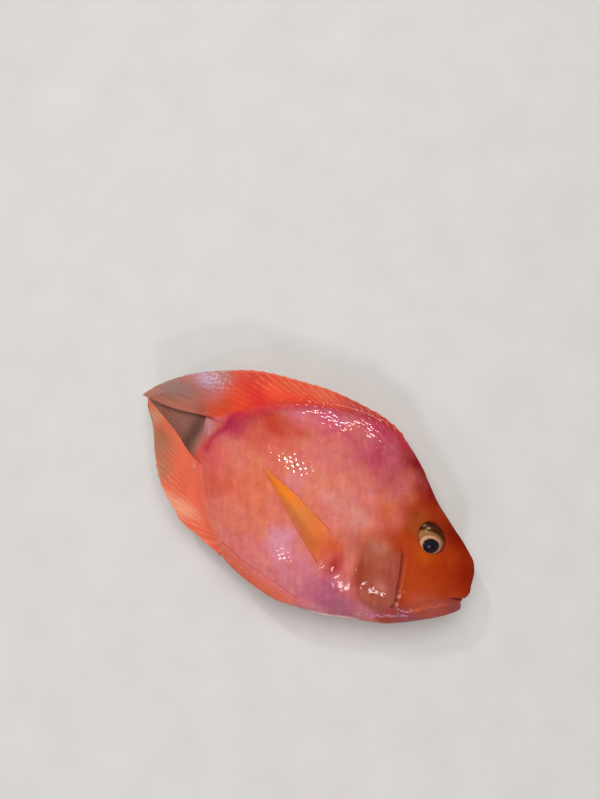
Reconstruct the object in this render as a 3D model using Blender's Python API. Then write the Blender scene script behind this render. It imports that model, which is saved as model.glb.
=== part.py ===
"""A blood parrot cichlid at life size, lying on its left flank with its fins folded.

Sizes are in millimetres. s is the distance back from the snout along the fish's long axis, and h is
the height above that axis toward the back. +X runs to the snout, +Y to the back, and +Z to the
right flank, which faces up. The origin is under the middle of the whole fish, on the floor.
"""

import bmesh
import bpy
import numpy as np

MM = 0.001
GAP = 0.32
FIN_CLEARANCE = 0.35
FAR = 60.0
RING_SPACING = 2.4
RING_SIDES = 40
PLATE_SPACING = 1.8
PLATE_SIDES = 56

SNOUT = -0.3
SNOUT_REACH = 14.0
FLESH_END = 91.6
TAIL_TIP = 113.0
MIDDLE_S = 56.0
MIDDLE_H = 3.1
FLANK_PRESSED = 0.35
MAX_HALF_WIDTH = 14.0
MID_Z = MAX_HALF_WIDTH - FLANK_PRESSED

BACK = [
    (SNOUT, -1.0), (0.5, 3.4), (1.1, 6.5), (2.7, 9.9), (5.8, 12.5), (12.9, 16.2), (21.5, 20.8),
    (31.0, 27.6), (38.0, 31.0), (44.0, 32.1), (52.0, 31.9), (60.0, 29.3), (68.0, 25.9),
    (75.0, 21.2), (82.0, 14.8), (87.0, 9.5), (90.0, 7.3), (FLESH_END, 6.8),
]
BELLY = [
    (SNOUT, -1.0), (0.6, -4.2), (2.1, -5.9), (5.4, -9.2), (10.2, -13.2), (16.5, -17.7),
    (24.6, -21.3), (34.0, -25.4), (44.0, -27.5), (55.6, -27.5), (66.0, -25.2), (75.0, -20.2),
    (82.0, -13.0), (87.0, -7.6), (90.0, -5.6), (FLESH_END, -5.0),
]
HALF_WIDTH = [
    (SNOUT, 0.0), (1.0, 3.4), (3.2, 5.6), (6.6, 7.6), (14.0, 10.4), (25.0, 12.9), (33.0, 13.7),
    (42.0, MAX_HALF_WIDTH), (52.0, 13.0), (62.0, 10.6), (72.0, 7.6), (80.0, 5.2), (87.0, 3.2),
    (FLESH_END, 2.0),
]
BACK_SHARPNESS = [(SNOUT, 1.0), (20.0, 1.06), (40.0, 1.2), (FLESH_END, 1.25)]
BELLY_SHARPNESS = [(SNOUT, 1.0), (20.0, 1.1), (40.0, 1.06), (60.0, 1.2), (FLESH_END, 1.25)]

GILL_EDGE = [
    (28.0, 33.0), (31.8, 18.0), (33.4, 6.0), (32.9, -4.0), (30.6, -11.0), (28.0, -14.4),
    (24.0, -17.4), (17.0, -24.0),
]
GILL_CUT = 1.3 * GAP
TAIL_CUT = 80.0
PEDUNCLE_TOP = (91.0, 7.2)
PEDUNCLE_SLANT = 0.28

GILL_COVER = [
    (29.4, 4.9), (25.6, 3.4), (22.8, -0.4), (20.4, -5.6), (19.0, -8.6), (17.9, -12.4),
    (20.0, -15.3), (24.8, -16.2), (29.4, -14.5), (32.0, -11.0), (33.8, -5.6), (34.2, 0.2),
    (32.6, 4.0),
]
GILL_COVER_RAISE = 0.45
GILL_COVER_DEPTH = 1.9
GILL_COVER_SPAN = (12.0, 42.0)
GILL_COVER_POINTS = 30

MOUTH_FRONT_H = -0.9
MOUTH_CORNER = (5.0, -3.1)
JAW_BACK = (8.8, -13.5)
MOUTH_GAP = 0.42
LIP_RADIUS = 0.95
LIP_OFFSET = 0.95
LIP_SUNK = 0.25
LIP_INSET = 0.96

EYE_S = 18.2
EYE_H = 9.9
EYE_RADIUS = 5.1
EYE_SUNK = 2.8

NOSTRIL_S = 9.4
NOSTRIL_H = 6.8
NOSTRIL_RIM = 1.05
NOSTRIL_HOLE = 0.5
NOSTRIL_RIM_SUNK = 0.55
NOSTRIL_DEPTH = 0.9

DORSAL_ROOT = (35.0, 87.6)
DORSAL_EDGE = [
    (36.2, 31.3), (40.5, 32.9), (45.4, 33.7), (58.4, 33.5), (65.4, 32.6), (76.2, 29.8),
    (84.1, 27.4), (94.2, 21.7), (103.5, 14.9), (110.8, 6.2), (TAIL_TIP, 1.8),
]
DORSAL_LAST_RAY = [(92.0, 8.7), (98.0, 8.1), (104.5, 5.2)]
ANAL_ROOT = (66.0, 85.6)
ANAL_EDGE = [
    (67.2, -26.3), (76.7, -24.6), (81.7, -24.0), (86.6, -21.6), (93.6, -17.2), (99.0, -11.7),
    (104.3, -5.5), (108.6, -1.6), (110.8, 0.0),
]
ANAL_LAST_RAY = [(91.0, -7.0), (97.8, -3.6), (103.6, -1.9)]
SPINE_TIP = 0.5
DORSAL_SPINY = 0.62
ANAL_SPINY = 0.45
CAUDAL_ROOT = (-6.4, 6.7)
CAUDAL_EDGE = [(101.0, -5.4), (106.4, -3.0), (109.2, 1.4), (107.4, 5.4), (102.4, 7.8)]

LOBE_LIFT = 1.5
LOBE_START = 84.0
LOBE_RISE = 7.0
CAUDAL_DROP = 0.9
CAUDAL_DROP_START = 89.0
CAUDAL_DROP_REACH = 5.0
DROOP = 0.0022
DROOP_START = 85.0

DORSAL_RAYS = 27
ANAL_RAYS = 17
CAUDAL_RAYS = 15
PECTORAL_RAYS = 12
PELVIC_RAYS = 6
RAY_ROWS = 8

# Half thickness at the root, half thickness at the edge, height of a ray, and how fast it thins.
MEDIAN_FIN = (1.1, 0.3, 0.22, 1.6)
CAUDAL_FIN = (0.9, 0.28, 0.15, 1.6)
PECTORAL_FIN = (0.46, 0.26, 0.12, 2.5)
PELVIC_FIN = (1.15, 0.55, 0.24, 2.5)

PECTORAL_UPPER = [(40.6, -4.5), (46.4, -3.0), (56.6, -0.3), (69.4, 2.0)]
PECTORAL_LOWER = [(38.9, -15.8), (43.0, -12.9), (50.4, -9.3), (59.0, -4.4), (69.1, 1.2)]
PECTORAL_TIP_OUT = 0.9
PRESSED_FIN = 1.0
PECTORAL_BASE = (38.8, -10.2)
PECTORAL_BASE_SIZE = (3.6, 6.2, 1.2)
PELVIC_ROOT_S = 38.5
PELVIC_LENGTH = 30.0
PELVIC_ANGLE = -66.0
PELVIC_WIDTH = 5.0
DEGREES_PER_MM = 3.4
PELVIC_TIP_OUT = 2.3
PELVIC_BASE_SIZE = (2.8, 2.4, 1.3)

SKIN = (0.80, 0.22, 0.12, 1.0)
FACE = (0.78, 0.16, 0.04, 1.0)
ROSE = (0.78, 0.20, 0.16, 1.0)
ORANGE_FIN = (0.85, 0.24, 0.06, 1.0)
AMBER_FIN = (0.85, 0.36, 0.08, 1.0)
CLEAR_FIN = (0.55, 0.32, 0.24, 1.0)
EYE_COLOUR = (0.42, 0.26, 0.10, 1.0)


def material(name, colour, roughness):
    made = bpy.data.materials.new(name)
    made.use_nodes = True
    shader = made.node_tree.nodes["Principled BSDF"]
    shader.inputs["Base Color"].default_value = colour
    shader.inputs["Roughness"].default_value = roughness
    shader.inputs["Metallic"].default_value = 0.0
    return made


def smooth_curve(points, s):
    """The value at s of a smooth line through the points. It can leave the snout upright."""
    stations = np.sqrt(np.array([point[0] for point in points]) - SNOUT)
    values = np.array([point[1] for point in points])
    slopes = np.gradient(values, stations)
    at = np.sqrt(np.clip(np.asarray(s, float) - SNOUT, 0.0, None))
    left = np.clip(np.searchsorted(stations, at) - 1, 0, len(stations) - 2)
    span = stations[left + 1] - stations[left]
    t = np.clip((at - stations[left]) / span, 0.0, 1.0)
    start = values[left] * (1 + 2 * t) * (1 - t) ** 2 + slopes[left] * span * t * (1 - t) ** 2
    end = values[left + 1] * (3 - 2 * t) * t**2 - slopes[left + 1] * span * t**2 * (1 - t)
    return start + end


def smooth_path(points, count):
    """count points, evenly spaced, along a smooth path through the given ones."""
    points = np.array(points, float)
    steps = np.linalg.norm(np.diff(points, axis=0), axis=1)
    along = np.concatenate([[0.0], np.cumsum(steps)])
    slopes = np.gradient(points, along, axis=0)
    at = np.linspace(0.0, along[-1], count)
    left = np.clip(np.searchsorted(along, at) - 1, 0, len(along) - 2)
    span = steps[left]
    t = ((at - along[left]) / span)[:, None]
    span = span[:, None]
    start = points[left] * (1 + 2 * t) * (1 - t) ** 2 + slopes[left] * span * t * (1 - t) ** 2
    end = points[left + 1] * (3 - 2 * t) * t**2 - slopes[left + 1] * span * t**2 * (1 - t)
    return start + end


def smooth_step(value):
    value = np.clip(value, 0.0, 1.0)
    return value * value * (3 - 2 * value)


def section(s, swell=0.0):
    """The middle height, half height and half width of the flesh at s, grown by swell."""
    top = smooth_curve(BACK, s) + swell
    bottom = smooth_curve(BELLY, s) - swell
    width = np.maximum(smooth_curve(HALF_WIDTH, s) + swell, 0.02)
    return (top + bottom) / 2, (top - bottom) / 2, width


def flesh_offset(s, angle, swell=0.0):
    """Height, and distance from the middle plane, of the flesh at s and an angle about the axis."""
    middle, reach, width = section(s, swell)
    lift = np.sin(angle)
    across = np.cos(angle)
    power = np.where(lift > 0, smooth_curve(BACK_SHARPNESS, s), smooth_curve(BELLY_SHARPNESS, s))
    return middle + reach * lift, width * np.sign(across) * np.abs(across) ** power


def flank(s, h, swell=0.0):
    """Distance of the flank from the middle plane at s and h."""
    middle, reach, _ = section(s, swell)
    angle = np.arcsin(np.clip((h - middle) / np.maximum(reach, 0.01), -1.0, 1.0))
    return flesh_offset(s, angle, swell)[1]


def flank_normal(s, h):
    """The unit normal of the right flank, as its parts along s, along h and outward."""
    step = 0.2
    slope_s = (flank(s + step, h) - flank(s - step, h)) / (2 * step)
    slope_h = (flank(s, h + step) - flank(s, h - step)) / (2 * step)
    normal = np.array([-slope_s, -slope_h, 1.0])
    return normal / np.linalg.norm(normal)


def mid_plane(s):
    """Height of the fish's middle plane over the floor, which sinks a little along the tail."""
    return MID_Z - DROOP * np.clip(np.asarray(s, float) - DROOP_START, 0.0, None) ** 2


def world(s, h, out):
    """Metres in the model's frame, for points at s and h and a distance out of the middle plane."""
    s, h, out = np.broadcast_arrays(np.asarray(s, float), h, out)
    points = np.stack([MIDDLE_S - s, h - MIDDLE_H, mid_plane(s) + out], axis=-1)
    return points * MM


def new_object(name, vertices, faces):
    """A mesh object with its faces turned outward."""
    mesh = bpy.data.meshes.new(name)
    mesh.from_pydata([tuple(vertex) for vertex in vertices], [], faces)
    work = bmesh.new()
    work.from_mesh(mesh)
    bmesh.ops.recalc_face_normals(work, faces=work.faces)
    work.to_mesh(mesh)
    work.free()
    made = bpy.data.objects.new(name, mesh)
    bpy.context.scene.collection.objects.link(made)
    return made


def ring_solid(name, rings):
    """A closed solid through rings of equal count, with a flat cap on each end."""
    count = len(rings[0])
    faces = [tuple(range(count)), tuple(range((len(rings) - 1) * count, len(rings) * count))]
    for row in range(len(rings) - 1):
        for column in range(count):
            after = (column + 1) % count
            here = row * count
            faces.append((here + column, here + after, here + count + after, here + count + column))
    return new_object(name, np.concatenate(rings), faces)


def two_faced(name, upper, lower):
    """A thin solid between two grids of points, with both faces split along the same diagonals."""
    rows, columns = upper.shape[:2]
    under = rows * columns
    faces = []
    for row in range(rows - 1):
        for column in range(columns - 1):
            a = row * columns + column
            b, c, d = a + 1, a + columns + 1, a + columns
            faces += [(a, b, c), (a, c, d)]
            faces += [(under + a, under + c, under + b), (under + a, under + d, under + c)]
    rim = list(range(columns))
    rim += [row * columns + columns - 1 for row in range(1, rows)]
    rim += [(rows - 1) * columns + column for column in range(columns - 2, -1, -1)]
    rim += [row * columns for row in range(rows - 2, 0, -1)]
    for here, after in zip(rim, rim[1:] + rim[:1]):
        faces += [(here, under + here, under + after), (here, under + after, after)]
    points = np.concatenate([upper.reshape(-1, 3), lower.reshape(-1, 3)])
    return new_object(name, points, faces)


def sheet_solid(name, s, h, out, half):
    """A thin solid about a grid of points, half as thick on each side of it."""
    return two_faced(name, world(s, h, out + half), world(s, h, out - half))


def remove(obj):
    bpy.data.objects.remove(obj)


def combine(target, tool, operation):
    """One Boolean, applied to target. The tool is then removed."""
    modifier = target.modifiers.new("combine", "BOOLEAN")
    modifier.operation = operation
    modifier.object = tool
    modifier.solver = "EXACT"
    graph = bpy.context.evaluated_depsgraph_get()
    mesh = bpy.data.meshes.new_from_object(target.evaluated_get(graph))
    target.modifiers.clear()
    target.data = mesh
    remove(tool)


def copy_of(source, name):
    made = bpy.data.objects.new(name, source.data.copy())
    bpy.context.scene.collection.objects.link(made)
    return made


def keep_largest(obj):
    """Drops all but the largest closed surface of an object."""
    work = bmesh.new()
    work.from_mesh(obj.data)
    seen = set()
    shells = []
    for start in work.verts:
        if start in seen:
            continue
        shell = {start}
        waiting = [start]
        while waiting:
            for edge in waiting.pop().link_edges:
                for vertex in edge.verts:
                    if vertex not in shell:
                        shell.add(vertex)
                        waiting.append(vertex)
        seen |= shell
        shells.append(shell)
    largest = max(shells, key=len)
    bmesh.ops.delete(work, geom=[v for v in work.verts if v not in largest], context="VERTS")
    work.to_mesh(obj.data)
    work.free()


def prism(name, outline, near, far):
    """A straight-sided block on an outline of s and h, from one distance off the middle to another."""
    s, h = np.array(outline, float).T
    rings = []
    for out in (near, far):
        level = np.full(len(s), MID_Z + out)
        rings.append(np.stack([MIDDLE_S - s, h - MIDDLE_H, level], axis=-1) * MM)
    return ring_solid(name, rings)


def body_stations():
    """Stations along the fish, closer together toward the snout, where it is blunt."""
    front = SNOUT + np.linspace(0.03, np.sqrt(SNOUT_REACH - SNOUT), 12) ** 2
    rest = np.linspace(SNOUT_REACH, FLESH_END, int((FLESH_END - SNOUT_REACH) / RING_SPACING) + 1)
    return np.concatenate([front, rest[1:]])


def flesh(name, stations, sides, swell=0.0):
    angles = np.linspace(0.0, 2 * np.pi, sides, endpoint=False)
    rings = []
    for s in stations:
        h, out = flesh_offset(s, angles, swell)
        rings.append(world(s, h, out))
    return ring_solid(name, rings)


def tube(name, centres, radii, sides=8):
    """A round tube along centres, which are points in the model's frame."""
    centres = np.array(centres)
    along = np.gradient(centres, axis=0)
    along /= np.linalg.norm(along, axis=1)[:, None]
    up = np.array([0.0, 1.0, 0.0])
    rings = []
    for centre, direction, radius in zip(centres, along, radii):
        side = np.cross(direction, up)
        side /= np.linalg.norm(side)
        top = np.cross(side, direction)
        turn = np.linspace(0.0, 2 * np.pi, sides, endpoint=False)[:, None]
        rings.append(centre + radius * MM * (np.cos(turn) * side + np.sin(turn) * top))
    return ring_solid(name, rings)


def ball(name, centre, radius, segments=20, rings=12):
    mesh = bpy.data.meshes.new(name)
    work = bmesh.new()
    bmesh.ops.create_uvsphere(work, u_segments=segments, v_segments=rings, radius=radius * MM)
    bmesh.ops.translate(work, verts=work.verts, vec=centre)
    work.to_mesh(mesh)
    work.free()
    made = bpy.data.objects.new(name, mesh)
    bpy.context.scene.collection.objects.link(made)
    return made


def mouth_height(across):
    """Height of the line of the mouth, from 0 at its middle to 1 at its corner."""
    return MOUTH_FRONT_H + (MOUTH_CORNER[1] - MOUTH_FRONT_H) * across**1.4


def lip(name, side):
    """One lip, which follows the line of the mouth round the snout. side is 1 for the upper one."""
    corner_out = flank(MOUTH_CORNER[0], MOUTH_CORNER[1])
    reach = np.linspace(SNOUT, 12.0, 200)
    centres, radii = [], []
    for t in np.linspace(-1.0, 1.0, 13):
        across = abs(t)
        h = mouth_height(across) + side * LIP_OFFSET * (1 - 0.35 * across)
        out = corner_out * np.sin(t * np.pi / 2)
        s = np.interp(abs(out), flank(reach, h), reach)
        centres.append(world(s + LIP_SUNK, h, out * LIP_INSET))
        radii.append(LIP_RADIUS * (1 - 0.3 * across**2))
    return tube(name, centres, radii)


def flank_point(s, h, side, depth):
    """A point on one flank, sunk along its normal by depth."""
    along_s, along_h, outward = flank_normal(s, h) * depth
    return world(s - along_s, h - along_h, side * (flank(s, h) - outward))


def nostril(side):
    """The rim of a nostril and the pit to cut in it."""
    centre = flank_point(NOSTRIL_S, NOSTRIL_H, side, NOSTRIL_RIM_SUNK)
    rim = ball("nostril_rim", centre, NOSTRIL_RIM, 12, 8)
    mouth = flank_point(NOSTRIL_S, NOSTRIL_H, side, -1.2)
    floor = flank_point(NOSTRIL_S, NOSTRIL_H, side, NOSTRIL_DEPTH)
    pit = tube("nostril_pit", [mouth, (mouth + floor) / 2, floor], [NOSTRIL_HOLE] * 3)
    return rim, pit


def gill_cover_outline():
    return smooth_path(GILL_COVER + GILL_COVER[:1], GILL_COVER_POINTS)[:-1]


def grown(outline, amount):
    """A closed outline with each point moved out from its middle."""
    spread = outline - outline.mean(axis=0)
    length = np.linalg.norm(spread, axis=1)[:, None]
    return outline + spread / length * amount


def gill_shell(name, side, outline, raise_by, depth):
    """A curved plate on the flank under an outline, from raise_by above the flesh to depth below."""
    stations = np.arange(GILL_COVER_SPAN[0], GILL_COVER_SPAN[1], PLATE_SPACING)
    plate = flesh(name, stations, PLATE_SIDES, raise_by)
    combine(plate, prism("plate_edge", outline, side * 2.0, side * FAR), "INTERSECT")
    combine(plate, flesh("plate_core", stations, PLATE_SIDES, -depth), "DIFFERENCE")
    return plate


def swelling(name, centre, outward, size):
    """An egg of flesh. Its size is half its length, half its height and half its depth."""
    egg = ball(name, (0.0, 0.0, 0.0), 1.0, 16, 10)
    along = np.array([1.0, 0.0, 0.0]) - outward[0] * outward
    along /= np.linalg.norm(along)
    turn = np.stack([along * size[0], np.cross(outward, along) * size[1], outward * size[2]])
    for vertex in egg.data.vertices:
        vertex.co = centre + np.array(vertex.co) @ turn
    return egg


def pectoral_base(side):
    """The fleshy base of a pectoral fin, cut where the fin's root faces it."""
    s, h = PECTORAL_BASE
    slope_s, slope_h, rise = flank_normal(s, h)
    outward = np.array([-slope_s, slope_h, side * rise])
    base = swelling("pectoral_base", world(s, h, side * flank(s, h)), outward, PECTORAL_BASE_SIZE)
    root = [np.array(edge[0]) - (GAP, 0.0) for edge in (PECTORAL_UPPER, PECTORAL_LOWER)]
    lean = (root[0] - root[1]) * 0.5
    behind = [root[0] + lean, root[1] - lean, (FAR, -FAR), (FAR, FAR)]
    combine(base, prism("root_cut", behind, -FAR, FAR), "DIFFERENCE")
    return base


def pelvic_base(side):
    """The fleshy base of a pelvic fin, cut where the fin's root faces it."""
    s = PELVIC_ROOT_S - GAP
    h, out, normal_h, normal_out = belly_normal(s, np.radians(PELVIC_ANGLE))
    outward = np.array([0.0, normal_h, side * normal_out])
    base = swelling("pelvic_base", world(s, h, side * out), outward, PELVIC_BASE_SIZE)
    behind = [(s, FAR), (s, -FAR), (FAR * 2, -FAR), (FAR * 2, FAR)]
    combine(base, prism("root_cut", behind, -FAR, FAR), "DIFFERENCE")
    return base


def floor_block():
    below = [(-FAR, -FAR), (3 * FAR, -FAR), (3 * FAR, FAR), (-FAR, FAR)]
    return prism("floor_block", below, -MID_Z - FAR, -MID_Z)


def whole_body():
    """The flesh in one piece, with lips, nostrils, eye sockets and seats for the gill covers."""
    body = flesh("body", body_stations(), RING_SIDES)
    for side in (1, -1):
        combine(body, lip("lip", side), "UNION")
    for side in (1, -1):
        rim, pit = nostril(side)
        combine(body, rim, "UNION")
        combine(body, pit, "DIFFERENCE")
        centre = flank_point(EYE_S, EYE_H, side, EYE_SUNK)
        combine(body, ball("socket", centre, EYE_RADIUS + GAP), "DIFFERENCE")
        outline = grown(gill_cover_outline(), GAP)
        seat = gill_shell("seat", side, outline, 2.0, GILL_COVER_DEPTH + GAP)
        combine(body, seat, "DIFFERENCE")
        combine(body, pectoral_base(side), "UNION")
        combine(body, pelvic_base(side), "UNION")
    combine(body, pectoral_seat(), "DIFFERENCE")
    combine(body, floor_block(), "DIFFERENCE")
    return body


def gill_cover(name, side):
    plate = gill_shell(name, side, gill_cover_outline(), GILL_COVER_RAISE, GILL_COVER_DEPTH)
    combine(plate, floor_block(), "DIFFERENCE")
    return plate


def gill_line(shift):
    """The cut behind the head, moved back by shift."""
    return [(s + shift, h) for s, h in smooth_path(GILL_EDGE, 18)]


def jaw_outline(shift):
    """The lower jaw from the side: under the line of the mouth, ahead of the throat."""
    line = [(-3.0, MOUTH_FRONT_H)]
    for across in np.linspace(0.0, 1.0, 5):
        line.append((MOUTH_CORNER[0] * across, mouth_height(across)))
    line.append(JAW_BACK)
    moved = [(s + shift, h + shift) for s, h in line]
    return moved + [(JAW_BACK[0] + shift, -FAR), (-3.0 + shift, -FAR)]


def peduncle_end(h):
    """Where the flesh ends at the root of the tail fin, which leans back toward the top."""
    return PEDUNCLE_TOP[0] - PEDUNCLE_SLANT * (PEDUNCLE_TOP[1] - h)


def part_of_body(body, name, outline):
    piece = copy_of(body, name)
    combine(piece, prism("cutter", outline, -FAR, FAR), "INTERSECT")
    return piece


def divide_body(body):
    """The head, lower jaw, trunk and tail, parted by thin cuts."""
    jaw = part_of_body(body, "lower_jaw", jaw_outline(0.0))
    head = part_of_body(body, "head", gill_line(0.0) + [(-9.0, -FAR), (-9.0, FAR)])
    combine(head, prism("mouth_cut", jaw_outline(MOUTH_GAP), -FAR, FAR), "DIFFERENCE")
    front = gill_line(GILL_CUT)
    trunk = part_of_body(body, "trunk", front + [(TAIL_CUT, -FAR), (TAIL_CUT, FAR)])
    rear = TAIL_CUT + GAP
    ends = [(peduncle_end(h), h) for h in (-FAR / 2, FAR / 2)]
    tail = part_of_body(body, "tail_peduncle", [(rear, FAR / 2), (rear, -FAR / 2), *ends])
    remove(body)
    return {"head": head, "lower_jaw": jaw, "trunk": trunk, "tail_peduncle": tail}


def ray_columns(rays):
    """Places across a fin, and at each how high a ray stands there: 0 in a valley, 1 on a ray."""
    places = np.linspace(0.0, 1.0, 2 * rays + 1)
    return places, np.arange(2 * rays + 1) % 2


def at_fraction(path, fraction):
    """Points at fractions of the length of a path of evenly spaced points."""
    places = np.linspace(0.0, 1.0, len(path))
    return np.stack([np.interp(fraction, places, path[:, axis]) for axis in (0, 1)], axis=-1)


def fin_grid(root, edge, last_ray, across, along):
    """Points in a fin whose rays run from root to edge, bent to follow its last ray."""
    root_at = at_fraction(root, across)[None]
    edge_at = at_fraction(edge, across)[None]
    v = along[:, None, None]
    grid = (1 - v) * root_at + v * edge_at
    straight = (1 - along)[:, None] * root[-1] + along[:, None] * edge[-1]
    bend = at_fraction(last_ray, along) - straight
    return grid + across[None, :, None] ** 2 * bend[:, None, :]


def spine_tips(grid, heights, across, spiny):
    """Draws the tips of the spines, in the first part of the fin, out past the membrane."""
    last = grid[-1] - grid[-2]
    last /= np.linalg.norm(last, axis=-1, keepdims=True)
    reach = SPINE_TIP * heights * (across < spiny)
    grid[-1] += reach[:, None] * last
    return grid


def fin_thickness(along, heights, sizes):
    """Half the thickness of a fin over its rows and columns, with the rays raised."""
    root_half, edge_half, ray_height, thinning = sizes
    v = along[:, None]
    ridge = ray_height * heights[None, :] * np.sin(np.pi * (0.12 + 0.8 * v))
    return edge_half + (root_half - edge_half) * (1 - v) ** thinning + ridge


def lobe_lift(s):
    """The soft lobes of the dorsal and anal fins lie to the right of the tail fin."""
    return LOBE_LIFT * smooth_step((s - LOBE_START) / LOBE_RISE)


def caudal_drop(s):
    """The tail fin lies to the left of the soft lobes."""
    return -CAUDAL_DROP * smooth_step((s - CAUDAL_DROP_START) / CAUDAL_DROP_REACH)


def edge_strip(profile, span, clearance):
    """A fin's root, along the back or the belly."""
    s = np.linspace(span[0], span[1], 60)
    return np.stack([s, smooth_curve(profile, s) + clearance], axis=-1)


def median_fin(name, root, edge_points, last_ray, rays, spiny):
    """The dorsal or anal fin: spines in front, and a soft lobe that trails behind."""
    across, heights = ray_columns(rays)
    along = np.linspace(0.0, 1.0, RAY_ROWS)
    edge = smooth_path(edge_points, 80)
    last = smooth_path([root[-1], *last_ray, edge[-1]], 30)
    grid = spine_tips(fin_grid(root, edge, last, across, along), heights, across, spiny)
    s, h = grid[..., 0], grid[..., 1]
    return sheet_solid(name, s, h, lobe_lift(s), fin_thickness(along, heights, MEDIAN_FIN))


def dorsal_fin():
    root = edge_strip(BACK, DORSAL_ROOT, FIN_CLEARANCE)
    return median_fin("dorsal_fin", root, DORSAL_EDGE, DORSAL_LAST_RAY, DORSAL_RAYS, DORSAL_SPINY)


def anal_fin():
    root = edge_strip(BELLY, ANAL_ROOT, -FIN_CLEARANCE)
    return median_fin("anal_fin", root, ANAL_EDGE, ANAL_LAST_RAY, ANAL_RAYS, ANAL_SPINY)


def caudal_fin():
    across, heights = ray_columns(CAUDAL_RAYS)
    along = np.linspace(0.0, 1.0, RAY_ROWS)
    h = np.linspace(CAUDAL_ROOT[0], CAUDAL_ROOT[1], 20)
    root = np.stack([peduncle_end(h) + FIN_CLEARANCE, h], axis=-1)
    edge = smooth_path(CAUDAL_EDGE, 40)
    last = np.linspace(root[-1], edge[-1], 10)
    grid = fin_grid(root, edge, last, across, along)
    s, h = grid[..., 0], grid[..., 1]
    half = fin_thickness(along, heights, CAUDAL_FIN)
    return sheet_solid("caudal_fin", s, h, caudal_drop(s), half)


def pectoral_grid(across, along):
    """Points in s and h over the folded pectoral fin, from its upper edge to its lower one."""
    upper = at_fraction(smooth_path(PECTORAL_UPPER, 40), along)[:, None, :]
    lower = at_fraction(smooth_path(PECTORAL_LOWER, 40), along)[:, None, :]
    u = across[None, :, None]
    return (1 - u) * upper + u * lower


def pectoral_fin(name, side):
    """A pectoral fin folded back along its flank. The left one is pressed flat on the floor."""
    across, heights = ray_columns(PECTORAL_RAYS)
    along = np.linspace(0.0, 1.0, RAY_ROWS)
    grid = pectoral_grid(across, along)
    half = fin_thickness(along, heights, PECTORAL_FIN)
    s, h = grid[..., 0], grid[..., 1]
    out = flank(s, h) + FIN_CLEARANCE + PECTORAL_TIP_OUT * along[:, None] ** 2 + half
    if side < 0:
        out = np.minimum(out, MID_Z - half)
    return sheet_solid(name, s, h, side * out, half)


def pectoral_seat():
    """The room that the pressed left pectoral fin takes in the flank."""
    across = np.linspace(-0.05, 1.05, 14)
    along = np.linspace(-0.02, 0.72, 9)
    grid = pectoral_grid(across, along)
    s, h = grid[..., 0], grid[..., 1]
    inner = np.minimum(flank(s, h) + 0.15, MID_Z - PRESSED_FIN - GAP)
    outer = np.full_like(inner, MID_Z + 3.0)
    return two_faced("pectoral_seat", world(s, h, -inner), world(s, h, -outer))


def leaf_width(t):
    """Half width of a folded pelvic fin, as a share, from 0 at its root to 1 at its tip."""
    return 0.06 + (0.4 + 0.54 * smooth_step(t / 0.42)) * np.sqrt(1.0 - t**3.5)


def belly_normal(s, angle):
    """Height, distance out, and the two parts of the outward normal, on the belly's right side."""
    h, out = flesh_offset(s, angle)
    ahead_h, ahead_out = flesh_offset(s, angle + 0.01)
    along_h, along_out = ahead_h - h, ahead_out - out
    length = np.hypot(along_h, along_out)
    return h, out, -np.abs(along_out) / length, np.abs(along_h) / length


def pelvic_fin(name, side):
    """A pelvic fin folded back along the belly, beside its keel."""
    across, heights = ray_columns(PELVIC_RAYS)
    along = np.linspace(0.0, 1.0, RAY_ROWS + 1)
    v = along[:, None]
    s = PELVIC_ROOT_S + PELVIC_LENGTH * v + 0 * across[None, :]
    swing = PELVIC_WIDTH / 2 * leaf_width(along)[:, None] * (2 * across - 1)[None, :]
    angle = np.radians(PELVIC_ANGLE + swing * DEGREES_PER_MM)
    h, out, normal_h, normal_out = belly_normal(s, angle)
    inner = FIN_CLEARANCE + PELVIC_TIP_OUT * v**2.2
    faces = []
    for offset in (inner + fin_thickness(along, heights, PELVIC_FIN), inner):
        faces.append(world(s, h + normal_h * offset, side * (out + normal_out * offset)))
    return two_faced(name, faces[0], faces[1])


def build():
    for obj in list(bpy.data.objects):
        remove(obj)
    skin = material("skin", SKIN, 0.3)
    face = material("face", FACE, 0.3)
    rose = material("rose_plate", ROSE, 0.3)
    orange = material("orange_fin", ORANGE_FIN, 0.35)
    amber = material("amber_fin", AMBER_FIN, 0.35)
    clear = material("clear_fin", CLEAR_FIN, 0.3)
    eye = material("eye", EYE_COLOUR, 0.1)
    nodes = divide_body(whole_body())
    paint = {"head": face, "lower_jaw": face, "trunk": skin, "tail_peduncle": skin}
    for side, word in ((1, "right"), (-1, "left")):
        centre = flank_point(EYE_S, EYE_H, side, EYE_SUNK)
        nodes["eye_" + word] = ball("eye_" + word, centre, EYE_RADIUS)
        nodes["gill_cover_" + word] = gill_cover("gill_cover_" + word, side)
        nodes["pectoral_fin_" + word] = pectoral_fin("pectoral_fin_" + word, side)
        nodes["pelvic_fin_" + word] = pelvic_fin("pelvic_fin_" + word, side)
        paint["eye_" + word] = eye
        paint["gill_cover_" + word] = rose
        paint["pectoral_fin_" + word] = amber
        paint["pelvic_fin_" + word] = orange
    nodes["dorsal_fin"] = dorsal_fin()
    nodes["anal_fin"] = anal_fin()
    nodes["caudal_fin"] = caudal_fin()
    paint["dorsal_fin"] = orange
    paint["anal_fin"] = orange
    paint["caudal_fin"] = clear
    for name, obj in nodes.items():
        keep_largest(obj)
        obj.data.materials.clear()
        obj.data.materials.append(paint[name])


build()
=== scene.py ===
"""The looks of a blood parrot cichlid that lies on its left flank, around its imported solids.

Sizes are in millimetres until a point is placed. s is the distance back from the snout along the
fish's long axis, h is the height above that axis toward the back, and out is the distance from the
fish's middle plane toward its right flank, which faces up.
"""

import bpy
import numpy as np
from mathutils import Matrix

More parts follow.
